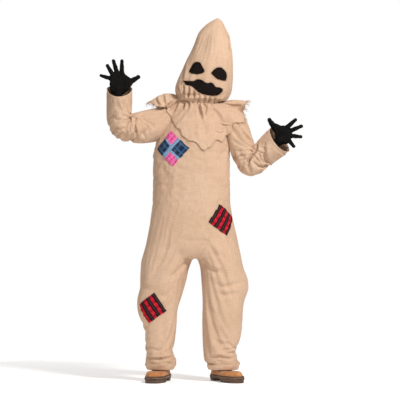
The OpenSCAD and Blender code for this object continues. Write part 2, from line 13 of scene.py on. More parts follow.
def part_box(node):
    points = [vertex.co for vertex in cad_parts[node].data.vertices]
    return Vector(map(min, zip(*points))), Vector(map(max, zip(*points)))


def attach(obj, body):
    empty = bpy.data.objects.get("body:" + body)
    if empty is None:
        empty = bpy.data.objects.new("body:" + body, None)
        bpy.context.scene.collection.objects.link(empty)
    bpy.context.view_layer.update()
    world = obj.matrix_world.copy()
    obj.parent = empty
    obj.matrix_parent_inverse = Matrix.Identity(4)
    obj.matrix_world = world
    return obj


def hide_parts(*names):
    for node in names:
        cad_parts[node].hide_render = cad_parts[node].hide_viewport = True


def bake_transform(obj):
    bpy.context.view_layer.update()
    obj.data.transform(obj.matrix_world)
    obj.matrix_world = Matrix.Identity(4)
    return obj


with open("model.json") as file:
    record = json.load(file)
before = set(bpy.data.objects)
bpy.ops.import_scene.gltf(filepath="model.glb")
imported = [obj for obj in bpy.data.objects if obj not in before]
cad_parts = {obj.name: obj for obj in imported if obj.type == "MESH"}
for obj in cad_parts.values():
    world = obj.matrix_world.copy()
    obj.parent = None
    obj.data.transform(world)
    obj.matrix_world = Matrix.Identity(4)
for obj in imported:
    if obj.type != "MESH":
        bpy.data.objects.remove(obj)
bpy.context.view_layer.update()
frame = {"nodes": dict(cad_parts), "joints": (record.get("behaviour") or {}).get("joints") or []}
joints = {j["name"]: j for j in frame["joints"]}
SIDES = ("right", "left")
UP = np.array([0.0, 0.0, 1.0])
FRONT = np.array([0.0, -1.0, 0.0])


def unit(v):
    v = np.asarray(v, float)
    return v / np.linalg.norm(v)


def place(joint):
    return np.array(joints[joint]["pos_m"])


shoulder = {s: place("shoulder_" + s) for s in SIDES}
elbow = {s: place("elbow_" + s) for s in SIDES}
wrist = {s: place("wrist_" + s) for s in SIDES}
upper = {s: unit(elbow[s] - shoulder[s]) for s in SIDES}
fore = {s: unit(wrist[s] - elbow[s]) for s in SIDES}
arm_axis = {s: unit(joints["elbow_" + s]["axis"]) for s in SIDES}
neck = place("head_tilt")
body_y = shoulder["right"][1]
upper_length = np.linalg.norm(elbow["right"] - shoulder["right"])

# ---------------------------------------------------------------- mesh helpers


def piece(name, points, faces, material=None):
    mesh = bpy.data.meshes.new(name)
    mesh.from_pydata([tuple(map(float, p)) for p in points], [], [tuple(map(int, f)) for f in faces])
    mesh.update()
    obj = bpy.data.objects.new(name, mesh)
    bpy.context.scene.collection.objects.link(obj)
    if material:
        mesh.materials.append(material)
    mesh.shade_smooth()
    return obj


def grid_faces(rows, cols, closed=True, first=0):
    faces = []
    for j in range(rows - 1):
        for i in range(cols if closed else cols - 1):
            a, b = first + j * cols + i, first + j * cols + (i + 1) % cols
            faces.append((a, b, b + cols, a + cols))
    return faces


def points_of(obj):
    co = np.empty(len(obj.data.vertices) * 3)
    obj.data.vertices.foreach_get("co", co)
    return co.reshape(-1, 3)


def set_points(obj, co):
    obj.data.vertices.foreach_set("co", np.asarray(co, float).ravel())
    obj.data.update()


def normals_of(obj):
    n = np.empty(len(obj.data.vertices) * 3)
    obj.data.vertices.foreach_get("normal", n)
    return n.reshape(-1, 3)


def activate(obj):
    for o in bpy.context.selected_objects:
        o.select_set(False)
    bpy.context.view_layer.objects.active = obj
    obj.select_set(True)


def apply_modifiers(obj):
    graph = bpy.context.evaluated_depsgraph_get()
    mesh = bpy.data.meshes.new_from_object(
        obj.evaluated_get(graph), preserve_all_data_layers=True, depsgraph=graph
    )
    old = obj.data
    obj.modifiers.clear()
    obj.data = mesh
    mesh.name = obj.name
    bpy.data.meshes.remove(old)
    mesh.shade_smooth()


def remesh(obj, voxel):
    m = obj.modifiers.new("remesh", "REMESH")
    m.mode = "VOXEL"
    m.voxel_size = voxel
    apply_modifiers(obj)


def subdivide(obj, levels=1):
    m = obj.modifiers.new("subdivide", "SUBSURF")
    m.levels = m.render_levels = levels
    apply_modifiers(obj)


def relax(obj, factor, repeats):
    m = obj.modifiers.new("relax", "SMOOTH")
    m.factor = factor
    m.iterations = repeats
    apply_modifiers(obj)


def join(objects, name):
    activate(objects[0])
    for o in objects[1:]:
        o.select_set(True)
    bpy.ops.object.join()
    objects[0].name = name
    return objects[0]


def remove(*objects):
    for o in objects:
        bpy.data.objects.remove(o)


def tree_of(obj):
    bm = bmesh.new()
    bm.from_mesh(obj.data)
    tree = BVHTree.FromBMesh(bm)
    bm.free()
    return tree


def noise(p, scale, seed=0.0):
    """Smooth noise from -1 to 1 at points p, from sums of turned sine waves."""
    p = np.asarray(p, float) * scale
    r = np.random.default_rng(int(seed * 10) + 5)
    total = np.zeros(len(p))
    for _ in range(7):
        d = unit(r.normal(size=3)) * r.uniform(0.7, 1.9)
        bent = p @ d * 6.283 + r.uniform(0, 6.283)
        total += np.sin(bent + 1.3 * np.sin(p @ unit(r.normal(size=3)) * 4.1 + r.uniform(0, 6.283)))
    return total / 4.2


def sections_at(table, z):
    """Rows of a section table, whose third column is the height, read at heights z and eased."""
    t = np.array(table, float)
    out = np.stack([np.interp(z, t[:, 2], t[:, k]) for k in range(t.shape[1])], 1)
    for _ in range(3):
        out[1:-1] = 0.25 * out[:-2] + 0.5 * out[1:-1] + 0.25 * out[2:]
    return out


def level_rings(rows, cols, square=2.2):
    """Rings of points round the figure.

    Rows hold centre x, centre y from the body's middle, z, half width and half depth.
    """
    a = np.linspace(0, 2 * math.pi, cols, endpoint=False)
    c, s = np.cos(a), np.sin(a)
    cx, sx = np.sign(c) * np.abs(c) ** (2 / square), np.sign(s) * np.abs(s) ** (2 / square)
    return np.stack(
        [np.stack([x + w * cx, body_y + y + d * sx, np.full(cols, z)], 1) for x, y, z, w, d in rows]
    )


def closed_loft(name, rings):
    rows, cols = rings.shape[:2]
    points = list(rings.reshape(-1, 3)) + [rings[0].mean(0), rings[-1].mean(0)]
    low, high = rows * cols, rows * cols + 1
    faces = grid_faces(rows, cols)
    for i in range(cols):
        k = (i + 1) % cols
        faces += [(low, k, i), (high, (rows - 1) * cols + i, (rows - 1) * cols + k)]
    return piece(name, points, faces)


def set_weave(obj, uv):
    """Stores cloth coordinates, in metres along the two thread directions; uv has one row for each point."""
    mesh = obj.data
    loops = np.empty(len(mesh.loops), int)
    mesh.loops.foreach_get("vertex_index", loops)
    write_weave(mesh, np.asarray(uv, float)[loops])


def write_weave(mesh, corner_uv):
    old = mesh.attributes.get("weave")
    if old:
        mesh.attributes.remove(old)
    layer = mesh.attributes.new("weave", "FLOAT_VECTOR", "CORNER")
    full = np.zeros((len(mesh.loops), 3))
    full[:, :2] = corner_uv
    layer.data.foreach_set("vector", full.ravel())


def weave_round(obj, origin, along, across, radius):
    """Cloth coordinates round an axis: length along it and angle times radius, with no jump in a face."""
    mesh = obj.data
    along, across = unit(along), unit(across)
    third = np.cross(along, across)
    p = points_of(obj) - origin
    v = p @ along
    angle = np.arctan2(p @ third, p @ across)
    loops = np.empty(len(mesh.loops), int)
    mesh.loops.foreach_get("vertex_index", loops)
    starts = np.empty(len(mesh.polygons), int)
    totals = np.empty(len(mesh.polygons), int)
    mesh.polygons.foreach_get("loop_start", starts)
    mesh.polygons.foreach_get("loop_total", totals)
    first = np.repeat(angle[loops[starts]], totals)
    la = angle[loops]
    la = la - 2 * math.pi * np.round((la - first) / (2 * math.pi))
    return np.stack([la * radius, v[loops]], 1)


# ---------------------------------------------------------------- materials


class Graph:
    """A node material with short calls for the nodes that are used."""

    def __init__(self, name):
        self.mat = bpy.data.materials.new(name)
        self.mat.use_nodes = True
        self.tree = self.mat.node_tree
        self.shader = self.tree.nodes["Principled BSDF"]

    def new(self, kind, *values, **settings):
        n = self.tree.nodes.new(kind)
        for k, v in settings.items():
            setattr(n, k, v)
        for k, v in enumerate(values):
            self.feed(v, n.inputs[k])
        return n

    def feed(self, value, socket):
        if value is None:
            return
        if isinstance(value, bpy.types.NodeSocket):
            self.tree.links.new(value, socket)
        else:
            socket.default_value = value

    def math(self, op, a, b=None):
        return self.new("ShaderNodeMath", a, b, operation=op).outputs[0]

    def attribute(self, name):
        return self.new("ShaderNodeAttribute", attribute_name=name).outputs["Vector"]

    def place(self):
        return self.new("ShaderNodeTexCoord").outputs["Object"]

    def split(self, v):
        n = self.new("ShaderNodeSeparateXYZ", v)
        return n.outputs[0], n.outputs[1], n.outputs[2]

    def vector(self, x, y, z=0.0):
        return self.new("ShaderNodeCombineXYZ", x, y, z).outputs[0]

    def noise(self, vector, scale, detail=3.0, roughness=0.55):
        n = self.new("ShaderNodeTexNoise")
        self.feed(vector, n.inputs["Vector"])
        self.feed(scale, n.inputs["Scale"])
        self.feed(detail, n.inputs["Detail"])
        self.feed(roughness, n.inputs["Roughness"])
        return n.outputs["Fac"]

    def scaled(self, vector, x, y, z=1.0):
        return self.new("ShaderNodeVectorMath", vector, (x, y, z), operation="MULTIPLY").outputs[0]

    def remap(self, value, a, b, c, d):
        n = self.new("ShaderNodeMapRange")
        for k, v in zip(("Value", "From Min", "From Max", "To Min", "To Max"), (value, a, b, c, d)):
            self.feed(v, n.inputs[k])
        return n.outputs[0]

    def mix(self, factor, a, b, blend="MIX"):
        n = self.new("ShaderNodeMix", data_type="RGBA", blend_type=blend)
        self.feed(factor, n.inputs[0])
        for v, socket in ((a, n.inputs[6]), (b, n.inputs[7])):
            self.feed(v if isinstance(v, bpy.types.NodeSocket) else (*v[:3], 1.0), socket)
        return n.outputs[2]

    def bump(self, height, strength, distance, under=None):
        n = self.new("ShaderNodeBump")
        for k, v in (("Height", height), ("Strength", strength), ("Distance", distance), ("Normal", under)):
            self.feed(v, n.inputs[k])
        return n.outputs[0]

    def finish(self, colour, roughness, normal=None, **fixed):
        self.feed(colour, self.shader.inputs["Base Color"])
        self.feed(roughness, self.shader.inputs["Roughness"])
        self.feed(normal, self.shader.inputs["Normal"])
        for k, v in fixed.items():
            self.shader.inputs[k.replace("_", " ")].default_value = v
        return self.mat


def threads(g, pitch, wander=0.0):
    """Height of a plain weave, from 0 between the threads to 1 on top, with each thread's own number."""
    cloth = g.attribute("weave")
    if wander:
        drift = g.new("ShaderNodeTexNoise")
        g.feed(cloth, drift.inputs["Vector"])
        drift.inputs["Scale"].default_value = 28.0
        shifted = g.new(
            "ShaderNodeVectorMath", drift.outputs["Color"], (wander, wander, 0.0), operation="MULTIPLY"
        )
        cloth = g.new("ShaderNodeVectorMath", cloth, shifted.outputs[0], operation="ADD").outputs[0]
    u, v, _ = g.split(cloth)
    a, b = g.math("DIVIDE", u, pitch), g.math("DIVIDE", v, pitch)
    over_a = g.math("ABSOLUTE", g.math("SINE", g.math("MULTIPLY", a, math.pi)))
    over_b = g.math("ABSOLUTE", g.math("SINE", g.math("MULTIPLY", b, math.pi)))
    number = g.math("ADD", g.math("FLOOR", a), g.math("FLOOR", b))
    turn = g.math("MULTIPLY", g.math("FRACT", g.math("MULTIPLY", number, 0.5)), 2.0)
    height = g.math(
        "ADD",
        g.math("MULTIPLY", over_a, turn),
        g.math("MULTIPLY", over_b, g.math("SUBTRACT", 1.0, turn)),
    )
    gap = g.math("SUBTRACT", 1.0, g.math("MAXIMUM", over_a, over_b))
    return cloth, height, gap


BURLAP_PITCH = 0.0027


def burlap(name, light=(0.675, 0.468, 0.328), dark=(0.54, 0.350, 0.228)):
    g = Graph(name)
    cloth, height, gap = threads(g, BURLAP_PITCH, 0.004)
    weft = g.noise(g.scaled(cloth, 24.0, 300.0), 1.0, 2.0)
    warp = g.noise(g.scaled(cloth, 300.0, 24.0), 1.0, 2.0)
    slub = g.math("ADD", g.math("MULTIPLY", weft, 0.5), g.math("MULTIPLY", warp, 0.5))
    blotch = g.noise(g.place(), 5.0, 3.0)
    speck = g.noise(g.place(), 160.0, 2.0)
    tone = g.math("ADD", g.math("MULTIPLY", slub, 0.6), g.math("MULTIPLY", blotch, 0.4))
    colour = g.mix(g.remap(tone, 0.36, 0.60, 0.0, 1.0), dark, light)
    colour = g.mix(g.remap(speck, 0.64, 0.80, 0.0, 0.4), colour, (0.40, 0.22, 0.12))
    # Painted shade: the colour is darkened towards deep brown in the gaps between the threads.
    colour = g.mix(g.remap(gap, 0.25, 0.9, 0.0, 0.7), colour, (0.30, 0.16, 0.085))
    raised = g.math("ADD", g.math("MULTIPLY", height, 0.7), g.math("MULTIPLY", slub, 0.7))
    normal = g.bump(raised, 0.7, 0.0011)
    rough = g.remap(height, 0.0, 1.0, 1.0, 0.88)
    return g.finish(colour, rough, normal, Sheen_Weight=0.05, Specular_IOR_Level=0.15)


def knit_black():
    g = Graph("black_knit")
    p = g.place()
    x, y, z = g.split(p)
    slant = g.math("ADD", x, g.math("MULTIPLY", y, 0.6))
    rib = g.math("ABSOLUTE", g.math("SINE", g.math("MULTIPLY", slant, 1500.0)))
    row = g.math("ABSOLUTE", g.math("SINE", g.math("MULTIPLY", z, 1900.0)))
    loop = g.math("MULTIPLY", rib, row)
    fuzz = g.noise(p, 900.0, 2.0)
    tone = g.noise(p, 35.0, 3.0)
    colour = g.mix(g.remap(tone, 0.35, 0.65, 0.0, 1.0), (0.0026, 0.0022, 0.0020), (0.0062, 0.0052, 0.0046))
    normal = g.bump(g.math("ADD", loop, g.math("MULTIPLY", fuzz, 0.5)), 0.6, 0.0006)
    return g.finish(colour, g.remap(loop, 0.0, 1.0, 0.95, 0.7), normal, Specular_IOR_Level=0.12)


def gauze_black():
    g = Graph("black_gauze")
    _, height, gap = threads(g, 0.0012)
    # Painted shade: the colour is darker in the gaps between the gauze's threads than on the threads.
    colour = g.mix(g.remap(gap, 0.3, 0.9, 0.0, 1.0), (0.0075, 0.0045, 0.0034), (0.0014, 0.0010, 0.0009))
    return g.finish(colour, 0.85, g.bump(height, 0.5, 0.0004), Specular_IOR_Level=0.12)


def suede():
    g = Graph("suede")
    p = g.place()
    nap = g.noise(p, 420.0, 3.0, 0.7)
    brushed = g.noise(g.scaled(p, 60.0, 25.0, 90.0), 1.0, 3.0)
    worn = g.noise(p, 14.0, 3.0)
    colour = g.mix(g.remap(brushed, 0.35, 0.65, 0.0, 1.0), (0.33, 0.118, 0.032), (0.50, 0.205, 0.062))
    colour = g.mix(g.remap(worn, 0.5, 0.7, 0.0, 0.5), colour, (0.62, 0.33, 0.13))
    normal = g.bump(nap, 0.35, 0.0007)
    rough = g.remap(nap, 0.3, 0.7, 0.95, 0.78)
    return g.finish(colour, rough, normal, Sheen_Weight=0.2, Specular_IOR_Level=0.3)


def sole_rubber():
    g = Graph("sole_rubber")
    p = g.place()
    grain = g.noise(p, 300.0, 3.0)
    scuff = g.noise(g.scaled(p, 20.0, 20.0, 140.0), 1.0, 3.0)
    colour = g.mix(g.remap(scuff, 0.4, 0.65, 0.0, 1.0), (0.055, 0.028, 0.016), (0.13, 0.07, 0.042))
    return g.finish(colour, g.remap(grain, 0.3, 0.7, 0.85, 0.6), g.bump(grain, 0.4, 0.0005))


def steel(name, colour, lines):
    g = Graph(name)
    p = g.place()
    drawn = g.noise(g.scaled(p, lines, lines, 12.0), 1.0, 2.0)
    tint = g.mix(g.remap(drawn, 0.35, 0.65, 0.0, 1.0), [c * 0.8 for c in colour], colour)
    return g.finish(tint, g.remap(drawn, 0.3, 0.7, 0.28, 0.5), g.bump(drawn, 0.15, 0.0003), Metallic=1.0)


def stripes(g, value, width, centre, half):
    """1 inside a stripe of a repeat of that width."""
    phase = g.math("FRACT", g.math("DIVIDE", value, width))
    return g.math("LESS_THAN", g.math("ABSOLUTE", g.math("SUBTRACT", phase, centre)), half)


def tartan():
    """Red cloth with broad black bands one way, thin crossing bands, and green and blue lines."""
    g = Graph("red_tartan")
    _, height, _ = threads(g, 0.0011)
    u, v, _ = g.split(g.attribute("weave"))
    twill = g.math("FRACT", g.math("MULTIPLY", g.math("ADD", u, v), 420.0))
    shade = g.remap(twill, 0.0, 1.0, 0.94, 1.0)
    colour = g.mix(g.noise(g.place(), 90.0, 2.0), (0.40, 0.005, 0.016), (0.58, 0.012, 0.032))
    for value, repeat, centre, half, paint, strength in (
        (v, 0.030, 0.55, 0.10, (0.045, 0.002, 0.006), 0.70),
        (v, 0.030, 0.10, 0.02, (0.55, 0.22, 0.26), 0.25),
        (u, 0.038, 0.30, 0.285, (0.0035, 0.003, 0.0035), 0.98),
        (u, 0.038, 0.30, 0.026, (0.075, 0.10, 0.075), 0.70),
        (u, 0.038, 0.11, 0.014, (0.012, 0.008, 0.06), 0.8),
        (u, 0.038, 0.49, 0.014, (0.012, 0.06, 0.03), 0.8),
        (v, 0.030, 0.62, 0.012, (0.20, 0.22, 0.22), 0.2),
    ):
        on = g.math("MULTIPLY", stripes(g, value, repeat, centre, half), strength)
        colour = g.mix(g.math("MULTIPLY", on, shade), colour, paint)
    normal = g.bump(g.math("ADD", height, g.math("MULTIPLY", twill, 0.4)), 0.5, 0.0005)
    return g.finish(colour, 0.95, normal, Specular_IOR_Level=0.1)


def plain_thread(name, colour):
    g = Graph(name)
    twist = g.noise(g.place(), 700.0, 2.0)
    tint = g.mix(twist, [c * 0.65 for c in colour], colour)
    return g.finish(tint, 0.9, g.bump(twist, 0.5, 0.0004))


def patchwork():
    """Two pink and two navy rectangles of plaid in a pinwheel, with light blue strips between them."""
    g = Graph("patchwork_plaid")
    _, height, _ = threads(g, 0.0011)
    u, v, _ = g.split(g.attribute("weave"))

    def lines(colour, bars):
        for value, repeat, centre, half, paint, strength in bars:
            on = g.math("MULTIPLY", stripes(g, value, repeat, centre, half), strength)
            colour = g.mix(on, colour, paint)
        return colour

    def block(u0, u1, v0, v1):
        inside_u = g.math("MULTIPLY", g.math("GREATER_THAN", u, u0), g.math("LESS_THAN", u, u1))
        inside_v = g.math("MULTIPLY", g.math("GREATER_THAN", v, v0), g.math("LESS_THAN", v, v1))
        return g.math("MULTIPLY", inside_u, inside_v)

    pink = lines((0.70, 0.045, 0.24), [
        (u, 0.026, 0.3, 0.17, (0.76, 0.20, 0.42), 0.6), (v, 0.024, 0.6, 0.15, (0.78, 0.24, 0.46), 0.5),
        (u, 0.026, 0.75, 0.03, (0.82, 0.52, 0.66), 0.7), (v, 0.024, 0.15, 0.04, (0.28, 0.03, 0.13), 0.7),
    ])
    navy = lines((0.006, 0.018, 0.055), [
        (u, 0.034, 0.5, 0.16, (0.018, 0.070, 0.15), 0.8), (v, 0.030, 0.5, 0.20, (0.015, 0.055, 0.12), 0.7),
        (u, 0.034, 0.5, 0.016, (0.22, 0.34, 0.44), 0.5), (v, 0.030, 0.5, 0.018, (0.22, 0.34, 0.44), 0.45),
        (u, 0.0085, 0.5, 0.08, (0.04, 0.11, 0.20), 0.5),
    ])
    pale = lines((0.16, 0.29, 0.44), [
        (u, 0.012, 0.5, 0.12, (0.40, 0.55, 0.66), 0.7), (v, 0.014, 0.5, 0.12, (0.05, 0.13, 0.27), 0.7),
    ])
    colour = pale
    for area, paint in (
        (block(0.079, 0.140, 0.080, 0.140), pink), (block(0.059, 0.140, -0.01, 0.064), navy),
        (block(-0.01, 0.047, -0.01, 0.062), pink), (block(-0.01, 0.071, 0.082, 0.140), navy),
    ):
        colour = g.mix(area, colour, paint)
    fade = g.noise(g.place(), 60.0, 3.0)
    colour = g.mix(g.remap(fade, 0.4, 0.75, 0.0, 0.06), colour, (0.6, 0.55, 0.6))
    return g.finish(colour, 0.95, g.bump(height, 0.5, 0.0005), Specular_IOR_Level=0.1)


MAT = {
    "patchwork": patchwork(),
    "burlap": burlap("burlap_cloth"),
    # A darker copy of the burlap, painted shade: used on the rims of the face openings, the hood's side seams and
    # the collar's frayed threads.
    "burlap_painted_shade": burlap("burlap_shaded_copy", (0.62, 0.41, 0.27), (0.46, 0.28, 0.17)),
    "knit": knit_black(),
    "gauze": gauze_black(),
    "suede": suede(),
    "sole": sole_rubber(),
    "steel": steel("drawn_steel", (0.55, 0.56, 0.58), 900.0),
    "zinc": steel("zinc_plate", (0.72, 0.73, 0.75), 300.0),
    "nylon": plain_thread("black_nylon", (0.03, 0.03, 0.03)),
    "fibre": plain_thread("fibre_fill", (0.8, 0.7, 0.45)),
    "tan_thread": plain_thread("tan_thread", (0.62, 0.45, 0.26)),
    "dark_thread": plain_thread("dark_thread", (0.10, 0.07, 0.06)),
    "red": tartan(),
}

for material_name, cad_names in {
    "steel": ("foot_plate_{}", "shin_tube_{}", "thigh_tube_{}", "upper_arm_tube_{}", "forearm_tube_{}",
              "hand_armature_{}", "spine_tube", "neck_post", "head_tube"),
    "zinc": ("knee_coupling_{}", "shoulder_bracket_{}", "shoulder_bolt_{}", "elbow_bolt_{}", "frame_screws",
             "hip_bracket", "shoulder_bar", "neck_swivel", "neck_bolt"),
    "nylon": ("wrist_bush_{}",),
}.items():
    for pattern in cad_names:
        for cad_name in {pattern.format(s) for s in SIDES}:
            node = frame["nodes"][cad_name]
            node.data.materials.clear()
            node.data.materials.append(MAT[material_name])

# ---------------------------------------------------------------- camera, floor and light

CAMERA_DISTANCE = 14.0
VIEW_HALF_WIDTH = 1.046
SENSOR_WIDTH = 36.0
EYE = np.array([0.0, -CAMERA_DISTANCE, 0.985])
AIM = np.array([0.0, 0.0, 0.949])
camera = bpy.data.objects.new("camera", bpy.data.cameras.new("camera"))
bpy.context.scene.collection.objects.link(camera)
camera.location = EYE
camera.rotation_euler = Vector(AIM - EYE).to_track_quat("-Z", "Y").to_euler()
camera.data.sensor_width = SENSOR_WIDTH
camera.data.lens = SENSOR_WIDTH / (2 * math.tan(math.atan(VIEW_HALF_WIDTH / CAMERA_DISTANCE)))
camera.data.clip_end = 60.0
bpy.context.scene.camera = camera

FLOOR_RADIUS = 2.0
around_floor = np.linspace(0, 2 * math.pi, 96, endpoint=False)
rim_points = np.stack(
    [FLOOR_RADIUS * np.cos(around_floor), FLOOR_RADIUS * np.sin(around_floor), 0 * around_floor], 1
)
floor = piece("floor", rim_points, [tuple(range(96))])
g = Graph("floor_white")
floor.data.materials.append(
    g.finish(
        g.mix(g.noise(g.place(), 1.5), (0.90, 0.90, 0.90), (0.94, 0.94, 0.94)), 0.95, None,
        Specular_IOR_Level=0.1, Emission_Strength=0.22, Emission_Color=(1.0, 1.0, 1.0, 1.0),
    )
)

# The studio's white walls light the figure softly, and show as plain white behind it.
world = bpy.data.worlds.new("studio")
bpy.context.scene.world = world
world.use_nodes = True
nodes, links = world.node_tree.nodes, world.node_tree.links
soft, white = nodes["Background"], nodes.new("ShaderNodeBackground")
soft.inputs[0].default_value = (1.0, 0.965, 0.93, 1.0)
soft.inputs[1].default_value = 0.38
white.inputs[0].default_value = (1.0, 1.0, 1.0, 1.0)
white.inputs[1].default_value = 1.0
seen, choose = nodes.new("ShaderNodeLightPath"), nodes.new("ShaderNodeMixShader")
links.new(seen.outputs["Is Camera Ray"], choose.inputs[0])
links.new(soft.outputs[0], choose.inputs[1])
links.new(white.outputs[0], choose.inputs[2])
links.new(choose.outputs[0], nodes["World Output"].inputs[0])


def area_light(name, at, aim, size, power):
    data = bpy.data.lights.new(name, "AREA")
    data.size = size
    data.energy = power
    lamp = bpy.data.objects.new(name, data)
    bpy.context.scene.collection.objects.link(lamp)
    lamp.location = at
    lamp.rotation_euler = (Vector(aim) - Vector(at)).to_track_quat("-Z", "Y").to_euler()


area_light("key", (2.5, -3.6, 4.2), (0, 0, 1.3), 0.9, 285)
area_light("fill", (-3.4, -4.2, 1.8), (0, 0, 1.0), 2.4, 42)
area_light("rim", (-1.5, 3.5, 3.2), (0, 0, 1.2), 2.0, 70)
bpy.context.scene.view_settings.view_transform = "Standard"

# ---------------------------------------------------------------- folds, creases and cloth


def drop_on(tree, x, z, side):
    """The point of a surface seen from the front (side -1) or the back (side 1) at x and z, or None."""
    hit = tree.ray_cast(Vector((x, side * 2.0, z)), Vector((0, -side, 0)))
    return None if hit[0] is None else np.array(hit[0])


def spline(points, count):
    """A smooth curve through points."""
    p = np.asarray(points, float)
    t = np.linspace(0, len(p) - 1, count)
    out = np.empty((count, p.shape[1]))
    for k, x in enumerate(t):
        i = min(int(x), len(p) - 2)
        f = x - i
        a, b, c, d = p[max(i - 1, 0)], p[i], p[i + 1], p[min(i + 2, len(p) - 1)]
        out[k] = 0.5 * (
            2 * b + (c - a) * f + (2 * a - 5 * b + 4 * c - d) * f**2 + (3 * b - a - 3 * c + d) * f**3
        )
    return out


def fold(obj, line, width, depth, side=-1, ridge=0.6):
    """Presses a fold along a line of (x, z) points seen from one side: a groove with a ridge on its left."""
    tree = tree_of(obj)
    drawn = [drop_on(tree, x, z, side) for x, z in spline(line, 24)]
    path = np.array([p for p in drawn if p is not None])
    if len(path) < 3:
        return
    co, normal = points_of(obj), normals_of(obj)
    low, high = path.min(0) - 4 * width, path.max(0) + 4 * width
    near = np.where(((co > low) & (co < high)).all(1))[0]
    if not len(near):
        return
    p = co[near]
    best = np.full(len(near), 1e9)
    signed = np.zeros(len(near))
    taper = np.zeros(len(near))
    for k in range(len(path) - 1):
        a, b = path[k], path[k + 1]
        d = b - a
        t = np.clip(((p - a) @ d) / max(d @ d, 1e-12), 0, 1)
        away = p - (a + t[:, None] * d)
        dist = np.linalg.norm(away, axis=1)
        closer = dist < best
        best[closer] = dist[closer]
        turn = np.einsum("ij,ij->i", np.cross(d[None], away), normal[near])
        signed[closer] = (np.sign(turn) * dist)[closer]
        taper[closer] = np.sin(math.pi * np.clip((k + t) / (len(path) - 1), 0.02, 0.98))[closer] ** 0.6
    s = signed / width
    near_ridge = ridge * np.exp(-(((s - 1.5) / 1.15) ** 2))
    far_ridge = 0.4 * ridge * np.exp(-(((s + 1.5) / 1.2) ** 2))
    shape = -np.exp(-(s**2)) + near_ridge + far_ridge
    co[near] += normal[near] * (depth * shape * taper)[:, None]
    set_points(obj, co)


def add_collider(obj):
    m = obj.modifiers.new("collision", "COLLISION")
    obj.collision.thickness_outer = 0.003
    obj.collision.thickness_inner = 0.02
    obj.collision.cloth_friction = 25.0
    obj.collision.use_culling = False
    return m


def run_cloth(
    obj, pins, frames, grow=0.0, stiffness=12.0, bending=1.2, gravity=1.0, quality=6, compression=None
):
    """Lets obj hang as cloth for some frames and keeps the result; pins holds each point from 0 to 1."""
    group = obj.vertex_groups.new(name="held")
    for w in np.unique(np.round(pins, 2)):
        if w > 0:
            members = np.where(np.abs(np.round(pins, 2) - w) < 1e-6)[0]
            group.add([int(i) for i in members], float(w), "REPLACE")
    m = obj.modifiers.new("cloth", "CLOTH")
    c = m.settings
    c.quality = quality
    c.mass = 0.25
    c.tension_stiffness = stiffness
    c.compression_stiffness = compression or stiffness
    c.shear_stiffness = stiffness * 0.5
    c.bending_stiffness = bending
    c.tension_damping = c.compression_damping = c.shear_damping = 8.0
    c.bending_damping = 2.0
    c.air_damping = 2.0
    c.shrink_min = -grow
    c.vertex_group_mass = "held"
    c.pin_stiffness = 1.0
    c.effector_weights.gravity = gravity
    m.collision_settings.distance_min = 0.003
    m.collision_settings.use_self_collision = False
    m.collision_settings.collision_quality = 3
    m.point_cache.frame_start = 1
    m.point_cache.frame_end = frames
    for f in range(1, frames + 1):
        bpy.context.scene.frame_set(f)
    apply_modifiers(obj)
    bpy.context.scene.frame_set(1)
    obj.vertex_groups.clear()


# ---------------------------------------------------------------- suit: trunk and legs

TRUNK = [
    (-0.036, 0.000, 0.645, 0.190, 0.120), (-0.036, 0.000, 0.690, 0.250, 0.150),
    (-0.040, 0.000, 0.765, 0.234, 0.152), (-0.043, 0.000, 0.840, 0.216, 0.149),
    (-0.045, 0.000, 0.930, 0.203, 0.143), (-0.045, 0.000, 1.060, 0.201, 0.138),
    (-0.045, 0.000, 1.190, 0.201, 0.134), (-0.036, 0.000, 1.262, 0.192, 0.129),
    (-0.024, 0.000, 1.320, 0.178, 0.118), (-0.013, 0.000, 1.375, 0.160, 0.102),
    (-0.006, 0.000, 1.420, 0.122, 0.086), (-0.004, 0.000, 1.452, 0.084, 0.072),
    (-0.004, 0.000, 1.475, 0.070, 0.064),
]
LEG = {
    "right": [
        (-0.209, 0.010, 0.055, 0.072, 0.085), (-0.207, 0.008, 0.102, 0.082, 0.092),
        (-0.208, 0.004, 0.135, 0.080, 0.090), (-0.213, 0.004, 0.170, 0.074, 0.086),
        (-0.225, -0.004, 0.225, 0.071, 0.084), (-0.223, -0.012, 0.290, 0.071, 0.088),
        (-0.229, -0.016, 0.338, 0.080, 0.092), (-0.240, -0.020, 0.384, 0.087, 0.100),
        (-0.242, -0.020, 0.420, 0.100, 0.106), (-0.228, -0.016, 0.450, 0.107, 0.112),
        (-0.216, -0.012, 0.480, 0.112, 0.116), (-0.200, -0.006, 0.512, 0.107, 0.120),
        (-0.191, -0.002, 0.560, 0.121, 0.128), (-0.186, 0.000, 0.604, 0.133, 0.134),
        (-0.178, 0.000, 0.640, 0.138, 0.140), (-0.164, 0.000, 0.720, 0.120, 0.140),
    ],
    "left": [
        (0.123, 0.010, 0.055, 0.081, 0.088), (0.119, 0.008, 0.100, 0.087, 0.094),
        (0.112, 0.006, 0.135, 0.088, 0.094), (0.107, 0.004, 0.165, 0.081, 0.088),
        (0.116, 0.000, 0.198, 0.090, 0.090), (0.127, 0.000, 0.232, 0.099, 0.096),
        (0.130, -0.004, 0.325, 0.102, 0.100), (0.133, -0.010, 0.410, 0.101, 0.106),
        (0.131, -0.008, 0.447, 0.099, 0.110), (0.134, -0.006, 0.480, 0.108, 0.114),
        (0.142, -0.004, 0.512, 0.121, 0.120), (0.134, -0.002, 0.552, 0.125, 0.126),
        (0.112, 0.000, 0.604, 0.112, 0.134), (0.100, 0.000, 0.650, 0.116, 0.140),
        (0.090, 0.000, 0.720, 0.118, 0.140),
    ],
}


